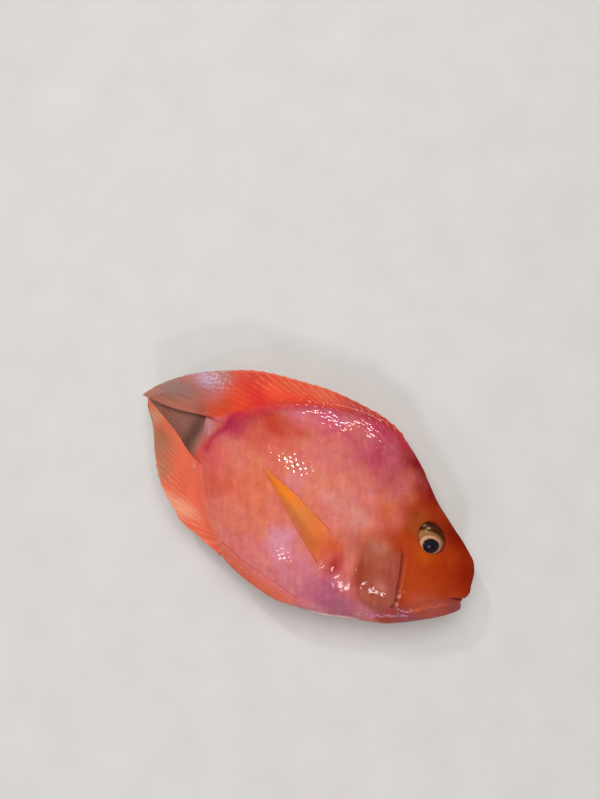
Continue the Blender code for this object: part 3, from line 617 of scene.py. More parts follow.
def base_relief(s, h, side_out):
    """The fleshy bases that the pectoral and pelvic fins grow out of."""
    s0, h0 = PECTORAL_BASE
    lift = swelling(s, h, side_out, (s0, h0, flank(s0, h0)), PECTORAL_BASE_SIZE)
    h1, out1 = flesh_offset(PELVIC_ROOT_S, np.radians(PELVIC_ANGLE))
    return lift + swelling(s, h, side_out, (PELVIC_ROOT_S + 0.6, h1, out1), PELVIC_BASE_SIZE)


def sheath_relief(s, angle):
    """The low fold of skin along the roots of the dorsal and anal fins."""
    dorsal = smooth_step((s - 34.0) / 2.0) * (1 - smooth_step((s - 86.0) / 3.0))
    anal = smooth_step((s - 65.0) / 2.0) * (1 - smooth_step((s - 84.5) / 3.0))
    at_top = np.maximum(np.sin(angle), 0.0) ** 60 * dorsal
    at_bottom = np.maximum(-np.sin(angle), 0.0) ** 60 * anal
    return 0.12 * (at_top + at_bottom)


def relief(s, h, out, angle):
    """How far the skin stands out from the plain flesh, and the painted shade in its creases."""
    lift = 0.06 * smooth_noise(s, h, out, 7.0, SEED + 3) + 0.02 * smooth_noise(s, h, out, 1.6, SEED + 4)
    lift = lift + sheath_relief(s, angle) + base_relief(s, h, np.abs(out))
    dark = np.zeros(np.shape(s))
    head = s < 42.0
    sh, hh, oh = s[head], h[head], out[head]
    side_out = np.abs(oh)
    flat_side = smooth_step((side_out - 1.5) / 2.0)
    gill = gill_relief(sh, hh)
    opening = opening_relief(sh, hh)
    folds = fold_relief(sh, hh)
    mouth = mouth_relief(sh, hh, oh)
    eye = eye_relief(sh, hh, side_out)
    nose = nostril_relief(sh, hh, side_out)
    away = (side_out > 2.0) * 1.0
    lift[head] += gill[0] * flat_side + opening[0] + folds[0] * flat_side + mouth[0] + eye[0] + nose[0]
    shades = [gill[1] * flat_side, opening[1], folds[1] * flat_side, mouth[1], 0.8 * eye[1], nose[1] * away]
    dark[head] = np.max(shades, axis=0)
    scaled = smooth_step((scaled_zone(s, h) + 0.5) / 5.0) * smooth_step((s - 20.0) / 3.0)
    return lift - SKIN_SUNK * scaled, dark


PECTORAL_OUTLINE = np.concatenate([smooth_path(PECTORAL_UPPER, 24), smooth_path(PECTORAL_LOWER, 24)[::-1]])


def pressed(s, h, out, floor):
    """The left flank as it is pressed: flat on the floor, and sunk under the folded left pectoral."""
    low = (out < -8.0) & (s > 34.0) & (s < 76.0)
    limit = np.full(np.shape(s), MID_Z - floor)
    seat = smooth_step(inside(PECTORAL_OUTLINE, s[low], h[low]) / 0.7 + 1.2)
    limit[low] -= seat * (SEAT_DEPTH - floor)
    return np.where(out < 0, -np.minimum(-out, limit), out)


# Meshes.

def face_outward(mesh):
    """Turns the faces of a closed mesh to look outward."""
    mesh.calc_loop_triangles()
    corners = np.empty(len(mesh.loop_triangles) * 3, np.int32)
    mesh.loop_triangles.foreach_get("vertices", corners)
    points = np.empty(len(mesh.vertices) * 3, np.float32)
    mesh.vertices.foreach_get("co", points)
    a, b, c = points.astype(float).reshape(-1, 3)[corners].reshape(-1, 3, 3).transpose(1, 0, 2)
    if np.sum(a * np.cross(b, c)) < 0:
        mesh.flip_normals()


def mesh_object(name, points, faces, shader):
    mesh = bpy.data.meshes.new(name)
    mesh.from_pydata(np.asarray(points), [], faces)
    mesh.shade_smooth()
    mesh.materials.append(shader)
    face_outward(mesh)
    made = bpy.data.objects.new(name, mesh)
    bpy.context.scene.collection.objects.link(made)
    return made


def paint(obj, layer, values):
    """Stores a colour, or one number, at each vertex."""
    mesh = obj.data
    values = np.asarray(values, float)
    if values.ndim == 1:
        mesh.attributes.new(layer, "FLOAT", "POINT").data.foreach_set("value", values)
        return
    rgba = np.concatenate([values, np.ones((len(values), 1))], axis=1)
    mesh.color_attributes.new(layer, "FLOAT_COLOR", "POINT").data.foreach_set("color", rgba.ravel())


def unwrap(obj, places):
    """The map OFBake, from one place on the unwrap for each vertex."""
    mesh = obj.data
    corners = np.empty(len(mesh.loops), int)
    mesh.loops.foreach_get("vertex_index", corners)
    layer = mesh.uv_layers.new(name="OFBake")
    layer.data.foreach_set("uv", np.asarray(places)[corners].ravel())


def grid_faces(rows, columns, closed):
    """Quads over a grid of points, row by row."""
    row, column = np.meshgrid(np.arange(rows - 1), np.arange(columns if closed else columns - 1), indexing="ij")
    after = (column + 1) % columns
    here = row * columns
    faces = np.stack([here + column, here + after, here + columns + after, here + columns + column], -1)
    return faces.reshape(-1, 4)


def grid_normals(points):
    """Outward normals of a tube of points, row by row round its axis."""
    down = np.gradient(points, axis=0)
    around = np.roll(points, -1, axis=1) - np.roll(points, 1, axis=1)
    normal = np.cross(down, around)
    normal /= np.maximum(np.linalg.norm(normal, axis=-1, keepdims=True), 1e-9)
    outward = np.sum(normal * (points - points.mean(axis=1, keepdims=True)), axis=-1, keepdims=True)
    return normal * np.where(outward < 0, -1.0, 1.0)


HEAD_END = 34.0
HEAD_ROWS = 210
BODY_ROWS = 190
END_ROWS = 14
SKIN_COLUMNS = 460


def end_slant(h):
    """How far ahead of its top the flesh ends at a height."""
    return PEDUNCLE_SLANT * (PEDUNCLE_TOP[1] - h) + 1.2 * bump_of((h - 0.5) / 4.5)


def slanted(s, angle):
    """Stations that lean over to the slanted end of the flesh."""
    ramp = smooth_step((s - 82.0) / (PEDUNCLE_TOP[0] - 82.0))
    leaning = s
    for _ in range(3):
        leaning = s - end_slant(flesh_offset(leaning, angle)[0]) * ramp
    return leaning


def skin_grid():
    """The plain flesh as a fine grid: s, h, out and the angle about the axis."""
    front = SNOUT + np.linspace(0.012, np.sqrt(HEAD_END - SNOUT), HEAD_ROWS) ** 2
    rear = np.linspace(HEAD_END, PEDUNCLE_TOP[0], BODY_ROWS + 1)[1:]
    turn = np.linspace(0.0, 2 * np.pi, SKIN_COLUMNS, endpoint=False)
    angle = (turn - 0.2 * np.sin(2 * turn))[None, :]
    s = slanted(np.concatenate([front, rear])[:, None] + 0 * angle, angle)
    h, out = flesh_offset(s, angle)
    t = np.linspace(0.0, 1.0, END_ROWS + 1)[1:, None]
    thin = 0.2 + 0.8 * (1 - t**1.6)
    s_end = s[-1] + 2.2 * t
    h_end = h[-1] + 0 * t
    out_end = out[-1] * thin
    s, h, out = np.concatenate([s, s_end]), np.concatenate([h, h_end]), np.concatenate([out, out_end])
    return s, h, out, angle + 0 * s


def make_skin(shader):
    s, h, out, angle = skin_grid()
    lift, dark = relief(s, h, out, angle)
    fade = 1 - smooth_step((s - 88.0) / 2.0) * 0.6
    tip = 1 - smooth_step((s - SNOUT) / 0.03)[..., None]
    normal = grid_normals(np.stack([s, h, out], axis=-1))
    normal = normal + (np.array([-1.0, 0.0, 0.0]) - normal) * tip
    moved = np.stack([s, h, out], axis=-1) + normal * (lift * fade)[..., None]
    ms, mh, mo = moved[..., 0], moved[..., 1], moved[..., 2]
    mo = pressed(ms, mh, mo, SKIN_FLOOR)
    rows, columns = s.shape
    points = world(ms, mh, mo, SKIN_FLOOR).reshape(-1, 3)
    ends = [points[:columns].mean(axis=0), points[-columns:].mean(axis=0)]
    points = np.concatenate([points, ends])
    faces = grid_faces(rows, columns, True).tolist()
    last = (rows - 1) * columns
    for column in range(columns):
        after = (column + 1) % columns
        faces.append((after, column, rows * columns))
        faces.append((last + column, last + after, rows * columns + 1))
    skin = mesh_object("skin", points, faces, shader)
    tint = body_tint(s, h, out).reshape(-1, 3)
    paint(skin, "tint", np.concatenate([tint, tint[:1], tint[-1:]]))
    # Painted shade in the creases, full at the tip of the snout.
    paint(skin, "crease_shade", np.concatenate([dark.ravel(), [1.0, 0.0]]))
    paint(skin, "rim", np.zeros(len(points)))
    wet = wetness(s, h).ravel()
    paint(skin, "wet", np.concatenate([wet, wet[:1], wet[-1:]]))
    return skin


# Scales: thin plates in staggered rows, each with its front under the plate ahead of it.

SCALE_STEP = 2.6
SCALE_ROW = 1.62
SCALE_HALF = (1.95, 2.25, 1.72)
SCALE_TILT = 0.024
SCALE_LIFT = -0.04
SCALE_DOME = 0.06
SCALE_THICKNESS = 0.045
SCALE_RINGS = (0.0, 0.38, 0.68, 0.88, 1.0)
SCALE_SECTORS = 20
UNWRAP_SPAN = 95.0


def scale_size(s, h):
    """How large the scales are there, as a share of the largest."""
    toward_tail = 1 - 0.38 * smooth_step((s - 60.0) / 30.0)
    toward_nape = 1 - 0.34 * smooth_step((40.0 - s) / 12.0)
    toward_breast = 1 - 0.25 * smooth_step((-h - 14.0) / 10.0) * smooth_step((60.0 - s) / 20.0)
    return toward_tail * toward_nape * toward_breast


class Unrolled:
    """The right flank unrolled: it turns s and the arc from the flank's middle into an angle."""

    def __init__(self):
        self.s = np.linspace(20.0, 92.5, 146)
        self.arcs = np.linspace(-46.0, 46.0, 369)
        angles = np.radians(np.linspace(-118.0, 118.0, 237))
        self.angle = np.empty((len(self.s), len(self.arcs)))
        for index, s in enumerate(self.s):
            h, out = flesh_offset(np.full(len(angles), s), angles)
            arc = np.concatenate([[0.0], np.cumsum(np.hypot(np.diff(h), np.diff(out)))])
            arc -= arc[len(angles) // 2]
            self.angle[index] = np.interp(self.arcs, arc, angles)

    def place(self, s, arc):
        """h and out of the flank at s and an arc."""
        u = np.clip((s - self.s[0]) / (self.s[1] - self.s[0]), 0, len(self.s) - 1.001)
        v = np.clip((arc - self.arcs[0]) / (self.arcs[1] - self.arcs[0]), 0, len(self.arcs) - 1.001)
        i, j = u.astype(int), v.astype(int)
        fu, fv = u - i, v - j
        low = self.angle[i, j] * (1 - fv) + self.angle[i, j + 1] * fv
        high = self.angle[i + 1, j] * (1 - fv) + self.angle[i + 1, j + 1] * fv
        return flesh_offset(s, low * (1 - fu) + high * fu)


def scale_roots(unrolled):
    """Roots of the scales of one flank: s, arc and size."""
    roots = []
    fine = np.linspace(22.0, 93.0, 1400)
    for row in range(-26, 27):
        size_at = np.ones(len(fine))
        arc = row * SCALE_ROW * size_at
        for _ in range(3):
            h = unrolled.place(fine, arc)[0]
            size_at = scale_size(fine, h)
            arc = row * SCALE_ROW * size_at
        steps = np.concatenate([[0.0], np.cumsum(np.diff(fine) / (SCALE_STEP * size_at[1:]))])
        anchor = np.interp(60.0, fine, steps)
        start = np.ceil(-anchor) + (0.5 if row % 2 else 0.0)
        at = np.arange(start, steps[-1] - anchor, 1.0) + anchor
        s = np.interp(at, steps, fine)
        roots.append(np.stack([s, np.interp(s, fine, arc), np.interp(s, fine, size_at), 0 * s + row], -1))
    roots = np.concatenate(roots)
    h, out = unrolled.place(roots[:, 0], roots[:, 1])
    keep = scaled_zone(roots[:, 0], h) > 0.0
    keep &= out > -0.2
    keep &= roots[:, 0] < PEDUNCLE_TOP[0] - end_slant(h) - 0.4
    at_base = np.hypot((roots[:, 0] - PECTORAL_BASE[0]) / 3.6, (h - PECTORAL_BASE[1]) / 6.4) < 1.0
    return roots[keep & ~at_base]


def scale_pattern():
    """One plate's points, as shares of its half sizes, and its faces, for the top and underside."""
    x, y, ring = [0.0], [0.0], [0.0]
    turn = np.linspace(0.0, 2 * np.pi, SCALE_SECTORS, endpoint=False)
    for radius in SCALE_RINGS[1:]:
        x += list(radius * np.cos(turn))
        y += list(radius * np.sin(turn) * (1 + 0.1 * np.cos(turn) ** 2))
        ring += [radius] * SCALE_SECTORS
    count = len(x)
    faces = []
    for sector in range(SCALE_SECTORS):
        after = (sector + 1) % SCALE_SECTORS
        faces.append((0, 1 + sector, 1 + after))
        for band in range(len(SCALE_RINGS) - 2):
            a = 1 + band * SCALE_SECTORS
            b = a + SCALE_SECTORS
            faces.append((a + sector, b + sector, b + after))
            faces.append((a + sector, b + after, a + after))
    under = [tuple(count + corner for corner in reversed(face)) for face in faces]
    rim = count - SCALE_SECTORS
    edge = []
    for sector in range(SCALE_SECTORS):
        after = (sector + 1) % SCALE_SECTORS
        edge.append((rim + sector, count + rim + sector, count + rim + after))
        edge.append((rim + sector, count + rim + after, rim + after))
    return np.array(x), np.array(y), np.array(ring), np.array(faces + under + edge)


def lateral_line(s, h):
    """1 on the rows of scales that carry the lateral line, which breaks off and starts again lower."""
    upper = bump_of((h - (13.5 + 3.5 * np.sin((s - 33.0) / 36.0 * np.pi))) / 0.7) * (s < 70.0)
    lower = bump_of((h - 1.6) / 0.7) * (s > 65.0)
    return np.maximum(upper, lower)


def make_scales(unrolled, side, word, shader):
    """The scales of one flank, in two pieces."""
    roots = scale_roots(unrolled)
    draw = np.random.default_rng(SEED + (7 if side > 0 else 8))
    x, y, ring, faces = scale_pattern()
    s0, arc0, size = roots[:, 0:1], roots[:, 1:2], roots[:, 2:3]
    twist = draw.normal(0.0, 0.03, size=s0.shape)
    wide = draw.uniform(0.96, 1.04, size=s0.shape)
    half = np.where(x > 0, SCALE_HALF[0], SCALE_HALF[1])
    ds = (x * half)[None, :] * size * wide
    da = (y * SCALE_HALF[2])[None, :] * size * wide
    s = s0 + ds - twist * da
    arc = arc0 + da + twist * ds
    h, out = unrolled.place(s, arc)
    step = 0.15
    ahead = np.stack(unrolled.place(s + step, arc), -1) - np.stack([h, out], -1)
    up = np.stack(unrolled.place(s, arc + step), -1) - np.stack([h, out], -1)
    down_s = np.stack([np.full(s.shape, step), ahead[..., 0], ahead[..., 1]], -1)
    up_s = np.stack([0 * s, up[..., 0], up[..., 1]], -1)
    normal = np.cross(down_s, up_s)
    normal /= np.maximum(np.linalg.norm(normal, axis=-1, keepdims=True), 1e-9)
    h0 = unrolled.place(s0, arc0)[0]
    tube = lateral_line(s0, h0) * bump_of(da / 0.3) * smooth_step((ds + 1.2) / 0.5) * smooth_step((1.4 - ds) / 0.5)
    young = 1 - smooth_step(scaled_zone(s0, h0) / 5.0)
    tilt = SCALE_TILT * (ds + SCALE_HALF[1] * size) * (1 - 0.5 * young)
    roll = draw.normal(0.0, 1.0, size=s0.shape) * (0.008 + 0.042 * smooth_step((h0 - 17.0) / 6.0))
    tilt = tilt + roll * da - 0.09 * young
    tilt = tilt + draw.uniform(-0.012, 0.012, size=s0.shape)
    rise = SCALE_LIFT + tilt + SCALE_DOME * size * (1 - ring**2)[None, :] + 0.07 * tube
    ripple = 0.006 * np.sin(2 * np.pi * (ring * 6.0))[None, :] * (ring > 0.3)
    thick = SCALE_THICKNESS * (1 - 0.6 * ring**4)[None, :]
    rows = []
    for height, floor in ((rise + ripple, SCALE_FLOOR), (rise - thick, SCALE_FLOOR + 0.05)):
        moved = np.stack([s, h, out], -1) + normal * height[..., None]
        mo = pressed(moved[..., 0], moved[..., 1], side * moved[..., 2], floor)
        rows.append(world(moved[..., 0], moved[..., 1], mo, floor))
    points = np.concatenate(rows, axis=1)
    tint = body_tint(s, h, side * out)
    tone = 1.0 + draw.uniform(-0.035, 0.035, size=s0.shape)
    tint = np.concatenate([tint, tint], axis=1) * tone[..., None]
    edge = smooth_step((ring - 0.6) / 0.4) * smooth_step((x + 0.3) / 0.5)
    edge = np.broadcast_to(np.concatenate([edge, edge]), points.shape[:2])
    wet = wetness(s, h)
    wet = np.concatenate([wet, wet], axis=1)
    middle_u = 0.25 if side > 0 else 0.75
    root_uv = np.concatenate([middle_u + 0.46 * (s0 / UNWRAP_SPAN - 0.5), 0.5 + arc0 / UNWRAP_SPAN], axis=1)
    local = np.stack([np.concatenate([x, x]), np.concatenate([y, y])], axis=-1) * 0.0015
    uv = root_uv[:, None, :] + local[None, :, :]
    made = []
    order = np.argsort(roots[:, 0], kind="stable")
    for part, chosen in (("front", order[: len(order) // 2]), ("rear", order[len(order) // 2:])):
        count = points.shape[1]
        offset = (np.arange(len(chosen)) * count)[:, None, None]
        piece = mesh_object(
            f"scales_{word}_{part}", points[chosen].reshape(-1, 3), (faces[None] + offset).reshape(-1, 3), shader
        )
        paint(piece, "tint", tint[chosen].reshape(-1, 3))
        paint(piece, "crease_shade", np.zeros(len(chosen) * count))
        paint(piece, "rim", edge[chosen].ravel())
        paint(piece, "wet", wet[chosen].ravel())
        unwrap(piece, uv[chosen].reshape(-1, 2))
        made.append(piece)
    return made


# Fins.

COLUMNS_PER_RAY = 8
ROOT_SUNK = 2.6


def at_fraction(path, fraction):
    """Points at fractions of the length of a path of evenly spaced points."""
    places = np.linspace(0.0, 1.0, len(path))
    return np.stack([np.interp(fraction, places, path[:, axis]) for axis in (0, 1)], axis=-1)


def fin_grid(root, edge, last_ray, across, along):
    """Points in a fin whose rays run from root to edge, bent to follow its last ray."""
    root_at = at_fraction(root, across)[None]
    edge_at = at_fraction(edge, across)[None]
    v = along[:, None, None]
    grid = (1 - v) * root_at + v * edge_at
    straight = (1 - along)[:, None] * root[-1] + along[:, None] * edge[-1]
    bend = at_fraction(last_ray, along) - straight
    return grid + across[None, :, None] ** 2 * bend[:, None, :]


def ray_ridges(rays, across, along, spiny):
    """How high the rays stand, from 0 in the membrane to 1. Soft rays are jointed and fork."""
    phase = across[None, :] * rays
    off = phase - np.floor(phase) - 0.5
    v = along[:, None]
    soft = smooth_step((across[None, :] - spiny) / 0.06) if spiny else 1.0
    split = 0.19 * smooth_step((v - 0.42) / 0.4) * soft
    width = 0.15 - 0.25 * split + 0.03 * (1 - v)
    ridge = np.maximum(bump_of((off - split) / width), bump_of((off + split) / width))
    joint = (0.5 + 0.5 * np.cos(2 * np.pi * v * 22)) ** 4
    ridge = ridge * (1 - 0.14 * joint * soft * smooth_step((v - 0.12) / 0.1))
    return ridge * smooth_step((v - 0.02) / 0.1)


def margin(across, along):
    """1 inside a fin, and toward 0 at its outer edge and its first and last rays."""
    sides = np.minimum(across / 0.03, (1 - across) / 0.03)[None, :]
    tips = ((1 - along) / 0.05)[:, None]
    return np.sqrt(np.clip(np.minimum(sides, tips), 0.0, 1.0))


def fin_mesh(name, top, bottom, shader, tint, clear):
    """A closed membrane between two grids of points."""
    rows, columns = top.shape[:2]
    faces = grid_faces(rows, columns, False)
    under = faces[:, ::-1] + rows * columns
    rim = np.concatenate([
        np.arange(columns),
        np.arange(1, rows) * columns + columns - 1,
        (rows - 1) * columns + np.arange(columns - 2, -1, -1),
        np.arange(rows - 2, 0, -1) * columns,
    ])
    after = np.roll(rim, -1)
    side = np.stack([rim, rim + rows * columns, after + rows * columns, after], -1)
    points = np.concatenate([top.reshape(-1, 3), bottom.reshape(-1, 3)])
    piece = mesh_object(name, points, np.concatenate([faces, under, side]), shader)
    paint(piece, "tint", np.concatenate([tint, tint]).reshape(-1, 3))
    paint(piece, "clear", np.concatenate([clear, clear]).ravel())
    return piece


def ragged(grid, ridge, across, rays, spiny, draw):
    """Draws the membrane back between the tips of the rays, and spine tips out past it."""
    last = grid[-1] - grid[-2]
    reach = np.linalg.norm(grid[-1] - grid[0], axis=-1, keepdims=True)
    last /= np.maximum(np.linalg.norm(last, axis=-1, keepdims=True), 1e-9)
    tips = np.repeat(draw.uniform(-0.08, 0.08, rays + 1), COLUMNS_PER_RAY)[: len(across)]
    spine = (across < spiny) * 0.25
    notch = (ridge[-1] * (0.2 + spine) - 0.1 + tips)[:, None]
    share = np.linspace(0, 1, len(grid))[:, None, None] ** 4
    return grid + share * (notch * np.minimum(1.0, reach / 4.0) * last)[None]


def lobe_lift(s):
    """The soft lobes of the dorsal and anal fins lie to the right of the tail fin."""
    return LOBE_LIFT * smooth_step((s - LOBE_START) / 7.0)


def caudal_drop(s):
    """The tail fin lies to the left of the soft lobes."""
    return -CAUDAL_DROP * smooth_step((s - 89.0) / 5.0)


def ray_tint(colour, patches, s, h, ridge, v, near, glint_strength):
    """Fin colours: paler along the rays and at the margin, with painted glints along the rays and on the dorsal's
    soft lobe, and the body's own where near is 1.
    """
    shade = painted(colour, patches, s, h)
    calm = 1 - 0.8 * smooth_step((s - 85.0) / 8.0) * smooth_step((h + 7.0) / 3.0)
    calm = calm * (0.6 + 0.5 * smooth_noise(s, h, 0 * s, 5.0, SEED + 22))
    lift = (0.5 + (np.clip(ridge, 0, 1) - 0.5) * calm)[..., None]
    pale = shade * 1.08 + 0.012
    deep = shade * np.array([0.96, 0.90, 0.92])
    shade = deep + (pale - deep) * lift
    # Painted glints: pale streaks on the tops of the rays toward the margin, broken here and there, laid on with the
    # paler margin.
    broken = smooth_step(0.4 + smooth_noise(s, h, 0 * s, 2.6, SEED + 12))
    ray_glints = ridge**3 * broken * smooth_step((v - 0.3) / 0.4)
    edge = (glint_strength * np.maximum(ray_glints, 0.7 * smooth_step((v - 0.93) / 0.05)))[..., None]
    shade = shade + (linear((234, 156, 120)) - shade) * edge
    # Painted glints: pale lilac-white specks on the dorsal's soft lobe.
    lobe_glints = bump_of((s - 97.0) / 5.0) * bump_of((h - 17.4) / 2.8)
    lobe_glints = lobe_glints * smooth_step((smooth_noise(s, h, 0 * s, 0.85, SEED + 23) - 0.25) / 0.35)
    shade = shade + (linear((244, 232, 246)) - shade) * (0.85 * lobe_glints)[..., None]
    shade = shade + (body_tint(s, h, 0 * s + 2.0) - shade) * (near + 0 * s)[..., None]
    return np.clip(shade, 0.0, 0.95)


def sheath(root, reach, up):
    """Half the thickness of the flesh that runs out into a fin, and how far each place is from its root."""
    girth = flank(root[:, 0], root[:, 1])
    slope = (flank(root[:, 0], root[:, 1] - 0.4 * up) - girth) / 0.4
    length = np.minimum(1.4 * girth / np.maximum(slope, 0.3), np.maximum(0.95 * reach[-1], 2.8))
    return np.maximum(girth - 0.1, 0.0) * np.clip(1 - reach / length, 0.0, 1.0) ** 1.4


def median_fin(name, root, edge_points, last_ray, rays, spiny, sweep, up, colours, shader):
    """The dorsal or anal fin: spines in front, and a soft lobe that trails behind."""
    draw = np.random.default_rng(SEED + rays)
    across = np.linspace(0.0, 1.0, rays * COLUMNS_PER_RAY + 1)
    along = np.linspace(0.0, 1.0, 70) ** 1.2
    v = along[:, None]
    edge = smooth_path(edge_points, 120)
    edge = at_fraction(edge, np.linspace(0.0, 1.0, 400) ** sweep)
    last = smooth_path([root[-1], *last_ray, edge[-1]], 40)
    ridge = ray_ridges(rays, across, along, spiny)
    grid = ragged(fin_grid(root, edge, last, across, along), ridge, across, rays, spiny, draw)
    s, h = grid[..., 0], grid[..., 1]
    wave = 0.22 * smooth_noise(s, h, 0 * s, 9.0, SEED + rays) * v
    soft = smooth_step((across[None, :] - spiny) / 0.12)
    foot = at_fraction(root, across)
    reach = v * np.linalg.norm(at_fraction(edge, across) - foot, axis=-1)[None, :]
    half = 0.12 + 0.45 * (1 - v) ** 2.6 + (0.13 - 0.06 * soft) * ridge * (1 - 0.62 * v)
    half = half * smooth_step(reach / 3.2) + sheath(foot, reach, up)
    half = 0.05 + (half - 0.05) * margin(across, along)
    near = 1 - smooth_step((reach - 1.6) / 2.4)
    tint = ray_tint(colours[0], colours[1], s, h, ridge, v, near, 0.55 - 0.45 * soft)
    clear = 0.35 * smooth_step((v - 0.4) / 0.5) * (1 - 0.6 * ridge) * smooth_step((across[None, :] - 0.4) / 0.4)
    out = lobe_lift(s) * (1.0 if up > 0 else 1.3) + wave
    return fin_mesh(name, world(s, h, out + half), world(s, h, out - half), shader, tint, clear)


def make_dorsal(shader):
    s = np.linspace(DORSAL_ROOT[0], DORSAL_ROOT[1], 90)
    root = np.stack([s, smooth_curve(BACK, s) - ROOT_SUNK], axis=-1)
    colours = (DORSAL_COLOUR, DORSAL_PATCHES)
    return median_fin("fine_dorsal_fin", root, DORSAL_EDGE, DORSAL_LAST_RAY, 27, 0.62, 1.0, 1, colours, shader)


def make_anal(shader):
    s = np.linspace(ANAL_ROOT[0], ANAL_ROOT[1], 60)
    root = np.stack([s, smooth_curve(BELLY, s) + ROOT_SUNK], axis=-1)
    colours = (ANAL_COLOUR, ANAL_PATCHES)
    return median_fin("fine_anal_fin", root, ANAL_EDGE, ANAL_LAST_RAY, 17, 0.45, 0.62, -1, colours, shader)


def make_caudal(shader):
    rays = 15
    across = np.linspace(0.0, 1.0, rays * COLUMNS_PER_RAY + 1)
    along = np.linspace(0.0, 1.0, 56)
    v = along[:, None]
    h = np.linspace(CAUDAL_ROOT[0], CAUDAL_ROOT[1], 30)
    root = np.stack([PEDUNCLE_TOP[0] - end_slant(h) - 0.2, h], axis=-1)
    edge = smooth_path(CAUDAL_EDGE, 60)
    last = np.linspace(root[-1], edge[-1], 10)
    ridge = ray_ridges(rays, across, along, 0)
    draw = np.random.default_rng(SEED + rays)
    grid = ragged(fin_grid(root, edge, last, across, along), ridge, across, rays, 0, draw)
    s, h = grid[..., 0], grid[..., 1]
    half = 0.1 + 0.9 * (1 - v) ** 3 + 0.04 * ridge * (1 - 0.6 * v)
    half = 0.05 + (half - 0.05) * margin(across, along)
    near = 0.6 * (1 - smooth_step((v - 0.02) / 0.2))
    tint = ray_tint(CAUDAL_COLOUR, CAUDAL_PATCHES, s, h, ridge, v, near, 0.1)
    clear = 0.3 * smooth_step((v - 0.1) / 0.3) * (1 - 0.5 * ridge)
    out = caudal_drop(s)
    top, bottom = world(s, h, out + half), world(s, h, out - half)
    return fin_mesh("fine_caudal_fin", top, bottom, shader, tint, clear)


def make_pectoral(side, word, shader):
    rays = 12
    across = np.linspace(0.0, 1.0, rays * COLUMNS_PER_RAY + 1)
    along = np.linspace(0.0, 1.0, 64)
    v = along[:, None]
    upper = at_fraction(smooth_path(PECTORAL_UPPER, 60), along)[:, None, :]
    lower = at_fraction(smooth_path(PECTORAL_LOWER, 60), along)[:, None, :]
    u = across[None, :, None]
    grid = (1 - u) * upper + u * lower
    s, h = grid[..., 0], grid[..., 1]
    ridge = ray_ridges(rays, across, along, 0)
    knuckle = bump_of((v - 0.035) / 0.02) * smooth_step(ridge * 2)
    half = 0.09 + 0.35 * (1 - v) ** 5 + 0.05 * ridge * (1 - 0.5 * v) + 0.06 * knuckle
    half = 0.04 + (half - 0.04) * margin(across, along)
    bowed = smooth_step((v - 0.045 * (2 * across[None, :] - 1) ** 2) / 0.12)
    base = (PECTORAL_BASE[0], PECTORAL_BASE[1], flank(*PECTORAL_BASE))
    swollen = swelling(s, h, flank(s, h), base, PECTORAL_BASE_SIZE)
    out = flank(s, h) + 0.7 * swollen + 0.16 - 1.1 * (1 - bowed) + 0.7 * v**2 + half
    wave = 0.14 * smooth_noise(s, h, 0 * s, 7.0, SEED + 21) * smooth_step(v * 3)
    out = out + np.maximum(wave, -0.06)
    if side < 0:
        out = np.minimum(out, MID_Z - half - 0.02)
    tint = ray_tint(PECTORAL_COLOUR, PECTORAL_PATCHES, s, h, ridge, v, 0.8 * (1 - smooth_step(v / 0.2)), 0.25)
    root_pale = (knuckle * 0.7)[..., None]
    tint = tint + (linear((236, 170, 110)) - tint) * np.clip(root_pale, 0, 1)
    low_side = smooth_step((across[None, :] - 0.35) / 0.5)
    clear = smooth_step((v - 0.06) / 0.3) * (0.08 + 0.52 * low_side) * (1 - 0.25 * ridge)
    clear = clear + (0.8 - clear) * smooth_step((across[None, :] - 0.9) / 0.1) * smooth_step(v / 0.1)
    top, bottom = world(s, h, side * (out + half)), world(s, h, side * (out - half))
    return fin_mesh(f"fine_pectoral_{word}", top, bottom, shader, tint, clear)


def make_pelvic(side, word, shader):
    rays = 6
    across = np.linspace(0.0, 1.0, rays * COLUMNS_PER_RAY + 1)
    along = np.linspace(0.0, 1.0, 70)
    v = along[:, None]
    leaf = 0.06 + (0.4 + 0.54 * smooth_step(v / 0.42)) * np.sqrt(1.0 - v**3.5)
    s = PELVIC_ROOT_S - 0.4 + (PELVIC_LENGTH + 0.3) * v + 0 * across[None, :]
    swing = PELVIC_WIDTH / 2 * leaf * (2 * across - 1)[None, :]
    angle = np.radians(PELVIC_ANGLE + swing * DEGREES_PER_MM)
    h, out = flesh_offset(s, angle)
    ahead_h, ahead_out = flesh_offset(s, angle + 0.01)
    length = np.hypot(ahead_h - h, ahead_out - out)
    normal_h = -np.abs(ahead_out - out) / length
    normal_out = np.abs(ahead_h - h) / length
    ridge = ray_ridges(rays, across, along, 0.12)
    half = 0.11 + 0.4 * (1 - v) ** 2.5 + 0.08 * ridge * (1 - 0.5 * v)
    half = 0.04 + (half - 0.04) * margin(across, along)
    free = 1 - 0.9 * smooth_step((across[None, :] - 0.15) / 0.8)
    lift = 0.06 + (0.8 * smooth_step((v - 0.05) / 0.25) + 1.6 * v**2.2) * free + half
    lift = lift - 1.2 * (1 - smooth_step(v / 0.13))
    near = np.maximum(1 - smooth_step((v - 0.04) / 0.26), 0.75 * smooth_step((across[None, :] - 0.55) / 0.4))
    tint = ray_tint(PELVIC_COLOUR, PELVIC_PATCHES, s, h, ridge, v, near, 0.4)
    clear = 0.25 * smooth_step((v - 0.4) / 0.4) * (1 - ridge)
    faces = []
    for offset in (lift + half, lift - half):
        faces.append(world(s, h + normal_h * offset, side * (out + normal_out * offset)))
    return fin_mesh(f"fine_pelvic_{word}", faces[0], faces[1], shader, tint, clear)


# Eyes.

